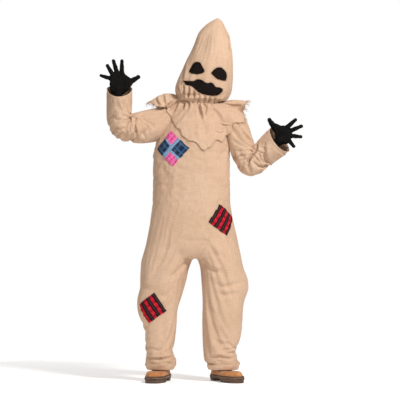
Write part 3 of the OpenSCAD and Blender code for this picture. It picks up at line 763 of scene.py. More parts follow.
def suit_form(shrink):
    """The closed body of the suit, drawn in by shrink."""
    parts = []
    for name, table in (("trunk", TRUNK), ("right", LEG["right"]), ("left", LEG["left"])):
        t = np.array(table)
        z = np.arange(t[0, 2], t[-1, 2] + 1e-6, 0.009)
        rows = sections_at(t, z)
        rows[:, 3:5] -= shrink
        parts.append(closed_loft("form_" + name, level_rings(rows, 72)))
    form = join(parts, "suit_form")
    remesh(form, 0.0105)
    relax(form, 0.5, 3)
    return form


def open_edges(obj, test):
    """Deletes the faces whose centre passes a test, to open a garment."""
    bm = bmesh.new()
    bm.from_mesh(obj.data)
    gone = [f for f in bm.faces if test(f.calc_center_median(), f.normal)]
    bmesh.ops.delete(bm, geom=gone, context="FACES")
    bm.to_mesh(obj.data)
    bm.free()
    obj.data.update()


def turn_in(obj, test, inset, rise, steps=3):
    """Folds the cloth's open edges that pass a test back inside, as a hem."""
    bm = bmesh.new()
    bm.from_mesh(obj.data)
    edges = [e for e in bm.edges if e.is_boundary and test((e.verts[0].co + e.verts[1].co) / 2)]
    middle = {}
    for v in {v for e in edges for v in e.verts}:
        middle[v] = v.normal.copy()
    for k in range(steps):
        made = bmesh.ops.extrude_edge_only(bm, edges=edges)["geom"]
        verts = [v for v in made if isinstance(v, bmesh.types.BMVert)]
        edges = [e for e in made if isinstance(e, bmesh.types.BMEdge) and e.is_boundary]
        carried = {}
        for v in verts:
            beside = (o for e in v.link_edges for o in e.verts if o in middle)
            source = min(beside, key=lambda o: (o.co - v.co).length)
            carried[v] = middle[source]
            inward = -inset if k == 0 else -inset * 0.2
            v.co += inward * middle[source] + Vector(rise) * (0.05 if k == 0 else 1.0)
        middle = carried
    bmesh.ops.recalc_face_normals(bm, faces=bm.faces)
    bm.to_mesh(obj.data)
    bm.free()
    obj.data.update()


NECK_Z = 1.462
HEM_Z = 0.062
form = suit_form(0.004)
suit = suit_form(0.0)
suit.name = "suit"
co = points_of(form)
set_points(form, co - normals_of(form) * 0.012)
open_edges(suit, lambda c, n: c.z > NECK_Z or c.z < HEM_Z)

add_collider(form)
height = points_of(suit)[:, 2]
held = np.where(height > 1.36, 1.0, 0.0) + np.where(height < HEM_Z + 0.018, 1.0, 0.0)
held += np.where((height > 0.76) & (height <= 1.36), 0.30, 0.0)
fork = points_of(suit)[:, 0] + 0.030
held += 0.9 * np.exp(-((fork / 0.085) ** 4)) * np.exp(-(((height - 0.655) / 0.085) ** 4))
run_cloth(suit, np.clip(held, 0, 1), 24, grow=0.045, stiffness=12.0, bending=0.8, quality=5)

remove(form)
relax(suit, 0.3, 2)
subdivide(suit)
for line, width, depth in (
    ([(-0.278, 0.128), (-0.235, 0.122), (-0.185, 0.124), (-0.140, 0.130)], 0.007, 0.013),
    ([(0.060, 0.128), (0.100, 0.134), (0.150, 0.124), (0.212, 0.128)], 0.008, 0.014),
    ([(0.052, 0.098), (0.085, 0.088), (0.120, 0.086)], 0.007, 0.008),
    ([(0.085, 0.176), (0.130, 0.166), (0.178, 0.172)], 0.008, 0.006),
    ([(0.080, 0.225), (0.110, 0.200), (0.165, 0.205)], 0.010, 0.005),
    ([(-0.272, 0.180), (-0.230, 0.165), (-0.190, 0.172)], 0.009, 0.005),
    ([(-0.055, 0.655), (-0.085, 0.610), (-0.135, 0.560), (-0.175, 0.545)], 0.015, 0.008),
    ([(-0.095, 0.700), (-0.150, 0.645), (-0.215, 0.620)], 0.020, 0.006),
    ([(0.000, 0.655), (0.030, 0.610), (0.075, 0.580), (0.120, 0.575)], 0.015, 0.008),
    ([(0.035, 0.700), (0.085, 0.660), (0.140, 0.650)], 0.020, 0.006),
    ([(0.075, 0.520), (0.115, 0.498), (0.170, 0.508), (0.225, 0.520)], 0.014, 0.008),
    ([(0.090, 0.470), (0.135, 0.455), (0.205, 0.470)], 0.014, 0.006),
    ([(-0.150, 0.480), (-0.180, 0.450), (-0.215, 0.455)], 0.014, 0.008),
    ([(-0.300, 0.500), (-0.260, 0.485), (-0.215, 0.500)], 0.014, 0.006),
    ([(0.060, 0.380), (0.090, 0.330), (0.100, 0.270)], 0.018, 0.006),
    ([(-0.165, 0.330), (-0.190, 0.280), (-0.190, 0.230)], 0.016, 0.005),
    ([(0.130, 1.210), (0.110, 1.150), (0.120, 1.080)], 0.022, 0.005),
    ([(-0.200, 1.130), (-0.170, 1.060), (-0.180, 0.980)], 0.022, 0.004),
    ([(0.150, 0.760), (0.160, 0.720), (0.185, 0.680)], 0.014, 0.005),
    ([(-0.215, 1.235), (-0.190, 1.262), (-0.165, 1.275)], 0.010, 0.005),
):
    fold(suit, line, width, depth)
turn_in(suit, lambda c: c.z < 0.12, 0.006, (0, 0, 0.016))
suit.data.materials.append(MAT["burlap"])

corner = weave_round(suit, (-0.04, body_y, 0), UP, (1, 0, 0), 0.19)
loops = np.empty(len(suit.data.loops), int)
suit.data.loops.foreach_get("vertex_index", loops)
where = points_of(suit)[loops]
for side, x in (("right", -0.215), ("left", 0.125)):
    leg_uv = weave_round(suit, (x, body_y, 0), UP, (1, 0, 0), 0.11)
    mask = (where[:, 2] < 0.64) & ((where[:, 0] < -0.033) == (side == "right"))
    corner[mask] = leg_uv[mask]
write_weave(suit.data, corner)
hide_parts("jumpsuit_torso", "trouser_leg_right", "trouser_leg_left", "torso_stuffing",
            "leg_stuffing_right", "leg_stuffing_left")
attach(suit, "frame")

# ---------------------------------------------------------------- sleeves

# Along each sleeve, from the shoulder: [length, half size outside the elbow, inside it, along the pivot]
SLEEVE = {
    "right": [
        (-0.075, 0.080, 0.050, 0.066), (0.000, 0.098, 0.064, 0.078), (0.060, 0.096, 0.068, 0.080),
        (0.130, 0.086, 0.068, 0.078), (0.180, 0.076, 0.064, 0.074), (0.219, 0.066, 0.060, 0.070),
        (0.260, 0.058, 0.064, 0.068), (0.310, 0.055, 0.072, 0.066), (0.360, 0.055, 0.074, 0.065),
        (0.420, 0.054, 0.072, 0.065), (0.478, 0.058, 0.075, 0.068),
    ],
    "left": [
        (-0.075, 0.060, 0.052, 0.066), (0.000, 0.074, 0.064, 0.078), (0.060, 0.074, 0.066, 0.078),
        (0.130, 0.070, 0.066, 0.074), (0.200, 0.070, 0.064, 0.070), (0.250, 0.084, 0.060, 0.070),
        (0.300, 0.070, 0.064, 0.068), (0.360, 0.060, 0.068, 0.068), (0.420, 0.066, 0.076, 0.072),
        (0.464, 0.073, 0.083, 0.078),
    ],
}
# Folds pressed into each sleeve, as seen from the front: [points, width, depth]
SLEEVE_FOLDS = {
    "right": [
        ([(-0.338, 1.378), (-0.334, 1.335), (-0.336, 1.292), (-0.372, 1.250)], 0.008, 0.012),
        ([(-0.249, 1.332), (-0.285, 1.300), (-0.318, 1.272)], 0.012, 0.006),
        ([(-0.300, 1.392), (-0.330, 1.372), (-0.352, 1.352)], 0.011, 0.006),
        ([(-0.345, 1.395), (-0.372, 1.352), (-0.385, 1.300), (-0.405, 1.262)], 0.016, 0.006),
        ([(-0.455, 1.500), (-0.448, 1.430), (-0.440, 1.370)], 0.018, 0.004),
    ],
    "left": [
        ([(0.302, 1.262), (0.296, 1.215), (0.262, 1.170), (0.244, 1.118)], 0.009, 0.014),
        ([(0.344, 1.250), (0.338, 1.190), (0.350, 1.130)], 0.014, 0.007),
        ([(0.168, 1.215), (0.188, 1.160), (0.212, 1.112)], 0.011, 0.006),
        ([(0.222, 1.300), (0.250, 1.270), (0.285, 1.245)], 0.011, 0.005),
        ([(0.196, 1.205), (0.228, 1.170), (0.248, 1.140)], 0.013, 0.004),
    ],
}
SPLIT = 0.070
COLS = 56
CUFF_DIP = {"right": 0.060, "left": 0.024}
CUFF_RUN = 0.13


def arm_line(s, length):
    """Point and direction of the sleeve's middle line at a length from the shoulder, with round corners."""
    inboard = unit(np.array([-upper[s][0], 0.0, 0.0]))
    corners = (
        (0.0, shoulder[s], -inboard, upper[s], 0.045),
        (upper_length, elbow[s], upper[s], fore[s], 0.062),
    )
    for at, corner_point, before, after, reach in corners:
        if abs(length - at) < reach:
            t = (length - at + reach) / (2 * reach)
            a, c = corner_point - before * reach, corner_point + after * reach
            p = (1 - t) ** 2 * a + 2 * t * (1 - t) * corner_point + t * t * c
            d = 2 * (1 - t) * (corner_point - a) + 2 * t * (c - corner_point)
            return p, unit(d)
    if length < 0:
        return shoulder[s] - inboard * length, -inboard
    if length < upper_length:
        return shoulder[s] + upper[s] * length, upper[s]
    return elbow[s] + fore[s] * (length - upper_length), fore[s]


def sleeve_rings(s, shrink, step=0.0085):
    table = np.array(SLEEVE[s])
    lengths = np.linspace(table[0, 0], table[-1, 0], int(round((table[-1, 0] - table[0, 0]) / step)) + 1)
    lengths[np.abs(lengths - SPLIT).argmin()] = SPLIT
    sizes = np.stack([np.interp(lengths, table[:, 0], table[:, k]) for k in (1, 2, 3)], 1)
    for _ in range(3):
        sizes[1:-1] = 0.25 * sizes[:-2] + 0.5 * sizes[1:-1] + 0.25 * sizes[2:]
    a = np.linspace(0, 2 * math.pi, COLS, endpoint=False)
    rings = []
    for length, (outer, inner, wide) in zip(lengths, sizes - shrink):
        p, d = arm_line(s, length)
        across = unit(np.cross(d, arm_axis[s]))
        reach = np.where(np.sin(a) > 0, outer, inner)
        rings.append(p + np.outer(wide * np.cos(a), arm_axis[s]) + np.outer(reach * np.sin(a), across))
    return lengths, np.array(rings)


def cloth_split(name, grid, uv, rows):
    """A piece of sleeve from some rows of a grid, with its own cloth coordinates."""
    part = grid[rows]
    cols = part.shape[1]
    points = part.reshape(-1, 3)
    obj = piece(name, points, grid_faces(len(part), cols), MAT["burlap"])
    corners = []
    for j in range(len(part) - 1):
        for i in range(cols):
            for jj, ii in ((j, i), (j, i + 1), (j + 1, i + 1), (j + 1, i)):
                corners.append((uv[1][ii], uv[0][rows.start + jj]))
    write_weave(obj.data, corners)
    return obj


def double_grid(grid):
    """Halves a grid's spacing both ways with smooth curves; the second direction is a closed ring."""
    r = np.empty((2 * len(grid) - 1, *grid.shape[1:]))
    r[::2] = grid
    padded = np.concatenate([2 * grid[:1] - grid[1:2], grid, 2 * grid[-1:] - grid[-2:-1]])
    r[1::2] = (-padded[:-3] + 9 * padded[1:-2] + 9 * padded[2:-1] - padded[3:]) / 16
    out = np.empty((len(r), 2 * r.shape[1], 3))
    out[:, ::2] = r
    out[:, 1::2] = (-np.roll(r, 1, 1) + 9 * r + 9 * np.roll(r, -1, 1) - np.roll(r, -2, 1)) / 16
    return out


sleeves, closed_sleeve = {}, {}
for s in SIDES:
    lengths, grid = sleeve_rings(s, 0.0)
    tube = piece("sleeve", grid.reshape(-1, 3), grid_faces(len(grid), COLS))
    core = closed_loft("core", sleeve_rings(s, 0.016)[1])
    add_collider(core)
    rows = np.repeat(lengths, COLS)
    held = np.where(rows < 0.0, 1.0, 0.0) + np.where(rows > lengths[-1] - 0.02, 1.0, 0.0)
    run_cloth(tube, held, 24, grow=0.075, stiffness=9.0, bending=1.6)
    remove(core)
    grid = points_of(tube).reshape(len(lengths), COLS, 3)
    remove(tube)
    fine = double_grid(grid)
    fine_lengths = np.interp(np.arange(len(fine)) / 2, np.arange(len(lengths)), lengths)
    cols = fine.shape[1]
    radius = 0.072
    pressed = piece("pressed", fine.reshape(-1, 3), grid_faces(len(fine), cols))
    for line, width, depth in SLEEVE_FOLDS[s]:
        fold(pressed, line, width, depth)
    fine = points_of(pressed).reshape(fine.shape)
    remove(pressed)
    for j, length in enumerate(fine_lengths):
        near_end = np.clip((length - fine_lengths[-1] + CUFF_RUN) / CUFF_RUN, 0, 1)
        near_end = near_end * near_end * (3 - 2 * near_end)
        out = fine[j] - fine[j].mean(0)
        out /= np.linalg.norm(out, axis=1)[:, None]
        dip = CUFF_DIP[s] * np.clip(0.5 + 0.5 * out @ FRONT, 0, 1) ** 1.6 * near_end
        fine[j] -= dip[:, None] * fore[s]
    split = int(np.abs(fine_lengths - SPLIT).argmin())
    cuff_centre, cuff_way = arm_line(s, fine_lengths[-1])
    hem = []
    for k in range(1, 9):
        ring = fine[-1] if k < 3 else fine[-1 - 2 * (k - 2)]
        out = ring - (ring @ cuff_way - cuff_centre @ cuff_way)[:, None] * cuff_way - cuff_centre
        unit_rows = out / np.linalg.norm(out, axis=1)[:, None]
        hem.append(ring - unit_rows * (0.0015 if k == 1 else 0.0035) + (cuff_way * 0.001 if k == 1 else 0))
    whole = np.concatenate([fine, np.array(hem)])
    whole_lengths = np.concatenate([fine_lengths, fine_lengths[-1] + 0.004 * np.arange(1, 9)])
    uv = (whole_lengths, np.arange(cols + 1) * 2 * math.pi * radius / cols)
    top = cloth_split("sleeve_upper_" + s + "_cloth", whole, uv, slice(0, split + 1))
    low = cloth_split("sleeve_lower_" + s + "_cloth", whole, uv, slice(split, len(whole)))
    closed_sleeve[s] = piece("closed_sleeve", fine.reshape(-1, 3), grid_faces(len(fine), cols))
    smooth = piece("smooth", whole.reshape(-1, 3), grid_faces(len(whole), cols))
    n = normals_of(smooth)
    remove(smooth)
    for obj, first in ((top, 0), (low, split)):
        count = len(obj.data.vertices)
        own = n[first * cols : first * cols + count]
        obj.data.normals_split_custom_set_from_vertices([tuple(x) for x in own])
    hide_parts("sleeve_upper_" + s, "upper_arm_padding_" + s)
    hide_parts("sleeve_lower_" + s, "forearm_padding_" + s)
    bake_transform(top)
    way = unit(upper[s] + fore[s])
    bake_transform(low)
    sleeves[s] = (top, low)
# ---------------------------------------------------------------- small parts: seams, stitches, threads


def tube_along(path, radius, sides=6, taper=None):
    """Points and faces of a closed tube along a path."""
    path = np.asarray(path, float)
    count = len(path)
    tangent = np.gradient(path, axis=0)
    tangent /= np.maximum(np.linalg.norm(tangent, axis=1), 1e-9)[:, None]
    a = np.linspace(0, 2 * math.pi, sides, endpoint=False)
    points = []
    start = UP if abs(tangent[0] @ UP) < 0.9 else FRONT
    side = unit(np.cross(tangent[0], start))
    for k in range(count):
        side = unit(side - (side @ tangent[k]) * tangent[k])
        other = np.cross(tangent[k], side)
        r = radius * (1.0 if taper is None else taper[k])
        points.append(path[k] + r * (np.outer(np.cos(a), side) + np.outer(np.sin(a), other)))
    points = np.concatenate(points)
    faces = grid_faces(count, sides)
    faces.append(tuple(range(sides - 1, -1, -1)))
    faces.append(tuple((count - 1) * sides + i for i in range(sides)))
    return points, faces


def gather(name, shapes, material):
    """One mesh from many (points, faces)."""
    points, faces, first = [], [], 0
    for p, f in shapes:
        points.append(p)
        faces += [tuple(first + i for i in face) for face in f]
        first += len(p)
    return piece(name, np.concatenate(points), faces, material)


def resample(path, spacing, closed=False):
    path = np.asarray(path, float)
    if closed:
        path = np.concatenate([path, path[:1]])
    run = np.concatenate([[0], np.cumsum(np.linalg.norm(np.diff(path, axis=0), axis=1))])
    count = max(int(run[-1] / spacing), 2)
    at = np.linspace(0, run[-1], count + 1)
    out = np.stack([np.interp(at, run, path[:, k]) for k in range(3)], 1)
    return out[:-1] if closed else out


def stitches(path, normals, length, gap, radius, rise=0.0012):
    """Running stitches along a path that lies on a surface."""
    run = np.concatenate([[0], np.cumsum(np.linalg.norm(np.diff(path, axis=0), axis=1))])
    shapes, at = [], gap
    while at + length < run[-1]:
        t = np.linspace(at, at + length, 5)
        p = np.stack([np.interp(t, run, path[:, k]) for k in range(3)], 1)
        n = np.stack([np.interp(t, run, normals[:, k]) for k in range(3)], 1)
        hump = np.array([-0.6, 0.8, 1.0, 0.8, -0.6]) * rise
        shapes.append(tube_along(p + n * hump[:, None], radius, 5))
        at += length + gap
    return shapes


def nearest(tree, points):
    """The nearest surface points and their normals."""
    found, normals = [], []
    for p in points:
        at, n, _, _ = tree.find_nearest(Vector(p))
        found.append(np.array(at))
        normals.append(np.array(n))
    return np.array(found), np.array(normals)


def ribbon(path, normals, width, height, lift=0.0):
    """A low rounded strip along a path on a surface."""
    tangent = np.gradient(path, axis=0)
    tangent /= np.linalg.norm(tangent, axis=1)[:, None]
    across = np.cross(tangent, normals)
    across /= np.linalg.norm(across, axis=1)[:, None]
    profile = ((-0.5, -0.6), (-0.47, 0.55), (-0.25, 1.0), (0.25, 1.0), (0.47, 0.55), (0.5, -0.6))
    rings = [path + across * (a * width) + normals * (b * height + lift) for a, b in profile]
    grid = np.stack(rings, 1)
    faces = grid_faces(len(path), len(profile))
    last = (len(path) - 1) * len(profile)
    faces.append(tuple(range(len(profile) - 1, -1, -1)))
    faces.append(tuple(last + i for i in range(len(profile))))
    return grid.reshape(-1, 3), faces


def front_path(tree, line, spacing=0.006, side=-1):
    """A path on a surface, from a line of (x, z) points seen from the front or the back."""
    at = np.array([p for p in (drop_on(tree, x, z, side) for x, z in spline(line, 60)) if p is not None])
    return nearest(tree, resample(at, spacing))


# ---------------------------------------------------------------- suit: seams and hems

suit_tree = tree_of(suit)
centre, centre_n = front_path(suit_tree, [(0.047, 0.765), (0.046, 0.735), (0.020, 0.690), (-0.022, 0.652)])
REAR_SEAM = [(-0.010, 1.400), (-0.018, 1.200), (-0.022, 0.900), (-0.026, 0.660)]
rear, rear_n = front_path(suit_tree, REAR_SEAM, side=1)
shapes = [ribbon(centre, centre_n, 0.006, 0.0011), ribbon(rear, rear_n, 0.009, 0.0014)]
thread_shapes = []
for path, n in ((centre, centre_n), (rear, rear_n)):
    thread_shapes += stitches(path + n * 0.0014, n, 0.006, 0.004, 0.0005)
for s, x, half in (("right", -0.209, 0.078), ("left", 0.120, 0.086)):
    a = np.linspace(0, 2 * math.pi, 140, endpoint=False)
    for level, wide in ((0.096, 0.004),):
        ring = []
        for angle in a:
            way = Vector((math.cos(angle), math.sin(angle), 0))
            start = Vector((x, body_y, level + 0.003 * math.sin(2 * angle))) + way * 0.16
            hit = suit_tree.ray_cast(start, -way)
            if hit[0] is not None:
                ring.append(np.array(hit[0]))
        ring, n = nearest(suit_tree, resample(np.array(ring), 0.005, closed=True))
        ring = np.concatenate([ring, ring[:1]])
        n = np.concatenate([n, n[:1]])
        thread_shapes += stitches(ring + n * 0.0006, n, 0.0055, 0.0035, 0.0006)
seams = gather("suit_seams", shapes, MAT["burlap"])
set_weave(seams, points_of(seams)[:, [0, 2]])
seam_thread = gather("suit_stitches", thread_shapes, MAT["tan_thread"])
for obj in (seams, seam_thread):
    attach(obj, "frame")

# ---------------------------------------------------------------- patches


def around(tree, axis_x, z, front_x):
    """The surface line round a body part at height z: arc length from front_x, with its places."""
    angles = np.linspace(-math.pi, 0.35 * math.pi, 170)
    found = []
    for a in angles:
        way = Vector((math.cos(a), math.sin(a), 0))
        hit = tree.ray_cast(Vector((axis_x, body_y, z)) + way * 0.4, -way)
        if hit[0] is not None and hit[3] < 0.4:
            found.append(np.array(hit[0]))
    line = np.array(found)
    run = np.concatenate([[0], np.cumsum(np.linalg.norm(np.diff(line, axis=0), axis=1))])
    front = line[:, 1] < body_y
    at = run[np.argmin(np.abs(line[:, 0] - front_x) + np.where(front, 0, 9))]
    return run - at, line


def patch(name, tree, axis_x, middle, size, turn, material, shift=0.0, lift=0.0026, cells=44):
    """A square of cloth laid round a surface; middle is (x, z) from the front, turn its angle in degrees."""
    t = np.linspace(-0.5, 0.5, cells)
    u, v = np.meshgrid(t * size[0], t * size[1])
    wobble = 0.0012 * noise(np.stack([u.ravel(), v.ravel(), 0 * u.ravel()], 1), 40, 3).reshape(u.shape)
    c, s = math.cos(math.radians(turn)), math.sin(math.radians(turn))
    x = c * u - s * v + wobble
    z = middle[1] + s * u + c * v + wobble
    levels = np.linspace(z.min() - 0.004, z.max() + 0.004, 30)
    lines = [around(tree, axis_x, level, middle[0]) for level in levels]
    points = []
    for xx, zz in zip(x.ravel(), z.ravel()):
        k = min(int((zz - levels[0]) / (levels[1] - levels[0])), len(levels) - 2)
        f = (zz - levels[k]) / (levels[1] - levels[0])
        ends = [
            np.array([np.interp(xx, lines[j][0], lines[j][1][:, i]) for i in range(3)]) for j in (k, k + 1)
        ]
        points.append(ends[0] * (1 - f) + ends[1] * f)
    at, n = nearest(tree, np.array(points))
    edge = np.minimum(0.5 - np.abs(np.meshgrid(t, t)[0]), 0.5 - np.abs(np.meshgrid(t, t)[1])).ravel()
    pad = lift + 0.0016 * np.clip(edge / 0.06, 0, 1) ** 0.5 + 0.0008 * noise(at, 30, 4)
    groove = -0.0013 * np.exp(-(((edge - 0.05) / 0.014) ** 2))
    smooth = n.reshape(cells, cells, 3)
    for _ in range(6):
        centre = smooth[1:-1, 1:-1]
        beside = (smooth[:-2, 1:-1], smooth[2:, 1:-1], smooth[1:-1, :-2], smooth[1:-1, 2:])
        smooth[1:-1, 1:-1] = (centre + beside[0] + beside[1] + beside[2] + beside[3]) / 5
    smooth = smooth.reshape(-1, 3)
    faces = grid_faces(cells, cells, closed=False)
    obj = piece(name, at + smooth * (pad + groove)[:, None], faces, material)
    set_weave(obj, np.stack([u.ravel() + size[0] / 2 + shift, v.ravel() + size[1] / 2], 1))
    m = obj.modifiers.new("thickness", "SOLIDIFY")
    m.thickness = 0.0018
    m.offset = -1.0
    apply_modifiers(obj)
    inset = 0.45
    corners = [(-inset, -inset), (inset, -inset), (inset, inset), (-inset, inset), (-inset, -inset)]
    path = []
    grid = (at + smooth * (lift + 0.0010)).reshape(cells, cells, 3)
    for (a0, b0), (a1, b1) in zip(corners[:-1], corners[1:]):
        for k in np.linspace(0, 1, 40, endpoint=False):
            ia = (a0 + (a1 - a0) * k + 0.5) * (cells - 1)
            ib = (b0 + (b1 - b0) * k + 0.5) * (cells - 1)
            i, j = min(int(ia), cells - 2), min(int(ib), cells - 2)
            fa, fb = ia - i, ib - j
            path.append(
                (grid[j, i] * (1 - fa) + grid[j, i + 1] * fa) * (1 - fb)
                + (grid[j + 1, i] * (1 - fa) + grid[j + 1, i + 1] * fa) * fb
            )
    path, pn = nearest(tree_of(obj), resample(np.array(path), 0.004))
    return obj, stitches(path, pn, 0.005, 0.0045, 0.0006, 0.0009)


patch_thread = []
for name, x, middle, size, turn, key, shift, cad, slot in (
    ("chest_patchwork", -0.045, (-0.147, 1.217), (0.131, 0.136), 47.0, "patchwork", 0.0,
     "chest_patch", "plaid_blue"),
    ("hip_tartan", -0.040, (0.119, 0.845), (0.130, 0.113), -33.5, "red", 0.002, "hip_patch", "tartan_red"),
    ("knee_tartan", -0.235, (-0.252, 0.388), (0.115, 0.115), 34.5, "red", 0.020, "knee_patch", "tartan_red"),
):
    cloth, sewn = patch(name, suit_tree, x, middle, size, turn, MAT[key], shift)
    patch_thread += sewn
    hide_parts(cad)
    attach(cloth, "frame")
patch_stitches = gather("patch_stitches", patch_thread, MAT["dark_thread"])
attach(patch_stitches, "frame")

# ---------------------------------------------------------------- hood

# From the gathered neck to the tip: [right edge, left edge, height, half depth]
HOOD = [
    (-0.054, 0.066, 1.395, 0.052), (-0.070, 0.084, 1.438, 0.068),
    (-0.090, 0.116, 1.468, 0.084), (-0.112, 0.145, 1.492, 0.098),
    (-0.124, 0.158, 1.520, 0.106), (-0.127, 0.164, 1.548, 0.108), (-0.119, 0.166, 1.580, 0.109),
    (-0.104, 0.168, 1.610, 0.108), (-0.083, 0.172, 1.658, 0.104), (-0.064, 0.174, 1.698, 0.098),
    (-0.041, 0.168, 1.740, 0.089), (-0.026, 0.159, 1.782, 0.077), (-0.013, 0.148, 1.820, 0.063),
    (0.004, 0.139, 1.842, 0.053), (0.030, 0.130, 1.862, 0.041), (0.054, 0.119, 1.880, 0.028),
    (0.073, 0.107, 1.893, 0.015), (0.088, 0.098, 1.900, 0.005),
]
hood_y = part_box("hood")[0][1] / 2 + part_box("hood")[1][1] / 2


def hood_rings(shrink, cols=100):
    t = np.array(HOOD)
    z = np.concatenate([np.arange(t[0, 2], 1.86, 0.0075), np.linspace(1.862, t[-1, 2], 8)])
    left, right, deep = (np.interp(z, t[:, 2], t[:, k]) for k in (0, 1, 3))
    rows = np.stack([left, right, z, deep], 1)
    for _ in range(3):
        shape = rows[:, [0, 1, 3]]
        rows[1:-1, [0, 1, 3]] = 0.25 * shape[:-2] + 0.5 * shape[1:-1] + 0.25 * shape[2:]
    a = np.linspace(0, 2 * math.pi, cols, endpoint=False)
    c, s = np.cos(a), np.sin(a)
    square = 2 / 2.25
    cx, sx = np.sign(c) * np.abs(c) ** square, np.sign(s) * np.abs(s) ** square
    rings = []
    for x0, x1, height, d in rows:
        half = (x1 - x0) / 2
        pleat = np.clip((1.545 - height) / 0.10, 0, 1) ** 1.3
        broad = np.sin(17 * a + 1.6 * np.sin(3 * a + 0.7) + 5 * height)
        wave = broad + 0.6 * np.sin(29 * a + 2.0 * np.sin(2 * a))
        grow = 1 - shrink / half + 0.034 * pleat * wave - 0.01 * pleat
        keep = 1 - shrink / max(d, 0.02) + 0.034 * pleat * wave
        rings.append(
            np.stack([(x0 + x1) / 2 + half * cx * grow, hood_y + d * sx * keep, np.full(cols, height)], 1)
        )
    return np.array(rings)


rings = hood_rings(0.0)
hood_cols = rings.shape[1]
hood = piece("hood_cloth", rings.reshape(-1, 3), grid_faces(*rings.shape[:2]))
core = closed_loft("core", hood_rings(0.012))
add_collider(core)
z = points_of(hood)[:, 2]
held = np.where(z < NECK_Z, 1.0, 0.0) + np.where(z > 1.886, 1.0, 0.0)
held = held + np.where((z > 1.50) & (z < 1.70), 0.12, 0.0)
run_cloth(hood, held, 22, grow=0.022, stiffness=14.0, bending=2.5, gravity=0.6)
remove(core)
bm = bmesh.new()
bm.from_mesh(hood.data)
bm.verts.ensure_lookup_table()
top = [bm.verts[(len(rings) - 1) * hood_cols + i] for i in range(hood_cols)]
tip_edges = [e for e in bm.edges if e.is_boundary and e.verts[0] in top and e.verts[1] in top]
bmesh.ops.holes_fill(bm, edges=tip_edges)
bm.to_mesh(hood.data)
bm.free()
subdivide(hood)
for line, width, depth, ridge in (
    ([(0.136, 1.838), (0.146, 1.795), (0.150, 1.750), (0.158, 1.708)], 0.0055, 0.012, 0.8),
    ([(0.046, 1.815), (0.032, 1.775), (0.016, 1.735), (0.004, 1.705)], 0.030, 0.008, 0.6),
    ([(-0.030, 1.760), (0.018, 1.792), (0.070, 1.832)], 0.022, 0.005, 0.4),
    ([(-0.072, 1.668), (-0.084, 1.620), (-0.092, 1.575)], 0.011, 0.010, 0.6),
    ([(-0.118, 1.545), (-0.108, 1.520), (-0.100, 1.485)], 0.007, 0.010, 0.7),
    ([(-0.086, 1.548), (-0.082, 1.520), (-0.086, 1.480)], 0.006, 0.012, 0.7),
    ([(-0.060, 1.540), (-0.056, 1.512), (-0.066, 1.478)], 0.006, 0.013, 0.7),
    ([(-0.034, 1.518), (-0.028, 1.500), (-0.036, 1.470)], 0.006, 0.011, 0.7),
    ([(-0.006, 1.500), (-0.004, 1.485), (-0.008, 1.462)], 0.005, 0.009, 0.7),
    ([(0.020, 1.492), (0.026, 1.478), (0.018, 1.458)], 0.006, 0.010, 0.7),
    ([(0.052, 1.486), (0.050, 1.472), (0.044, 1.456)], 0.006, 0.008, 0.7),
    ([(0.088, 1.490), (0.080, 1.474), (0.072, 1.456)], 0.007, 0.009, 0.7),
    ([(0.120, 1.505), (0.108, 1.485), (0.096, 1.466)], 0.008, 0.008, 0.7),
    ([(0.148, 1.600), (0.156, 1.560), (0.150, 1.520)], 0.010, 0.005, 0.5),
):
    fold(hood, line, width, depth, ridge=ridge)
write_weave(hood.data, weave_round(hood, (0.03, hood_y, 0), UP, (1, 0, 0), 0.12))

OPENINGS = {
    "eye_right": [
        (-0.059, 1.6165), (-0.048, 1.642), (-0.034, 1.662), (-0.014, 1.669), (0.002, 1.662), (0.015, 1.638),
        (0.0235, 1.620), (0.013, 1.6075), (-0.011, 1.6015), (-0.041, 1.6045),
    ],
    "eye_left": [
        (0.058, 1.609), (0.079, 1.632), (0.103, 1.640), (0.121, 1.632), (0.1345, 1.6165), (0.1406, 1.6015),
        (0.139, 1.5836), (0.133, 1.5686), (0.106, 1.5716), (0.088, 1.5775), (0.070, 1.5925),
    ],
    "mouth": [
        (-0.089, 1.570), (-0.059, 1.5685), (-0.035, 1.5685), (-0.017, 1.576), (-0.002, 1.5775), (0.013, 1.5715),
        (0.028, 1.561), (0.043, 1.558), (0.058, 1.561), (0.070, 1.552), (0.082, 1.537), (0.100, 1.5355),
        (0.118, 1.5265), (0.1165, 1.5145), (0.103, 1.4995), (0.085, 1.4905), (0.061, 1.489), (0.043, 1.492),
        (0.019, 1.4965), (-0.005, 1.5055), (-0.023, 1.5205), (-0.041, 1.537), (-0.059, 1.543), (-0.074, 1.5475),
        (-0.083, 1.5595),
    ],
}


def closed_curve(points, count):
    p = np.array(points)
    ring = np.concatenate([p[-2:], p, p[:3]])
    full = spline(ring, (len(ring) - 1) * 20 + 1)[40 : 40 + len(p) * 20 + 1]
    run = np.concatenate([[0], np.cumsum(np.linalg.norm(np.diff(full, axis=0), axis=1))])
    at = np.linspace(0, run[-1], count, endpoint=False)
    return np.stack([np.interp(at, run, full[:, k]) for k in (0, 1)], 1)


def inside(outline, x, z):
    """Whether points lie inside a closed outline."""
    hit = np.zeros(len(x), bool)
    for (x0, z0), (x1, z1) in zip(outline, np.roll(outline, -1, 0)):
        crosses = (z0 > z) != (z1 > z)
        hit ^= crosses & (x < (x1 - x0) * (z - z0) / np.where(z1 == z0, 1e-9, z1 - z0) + x0)
    return hit


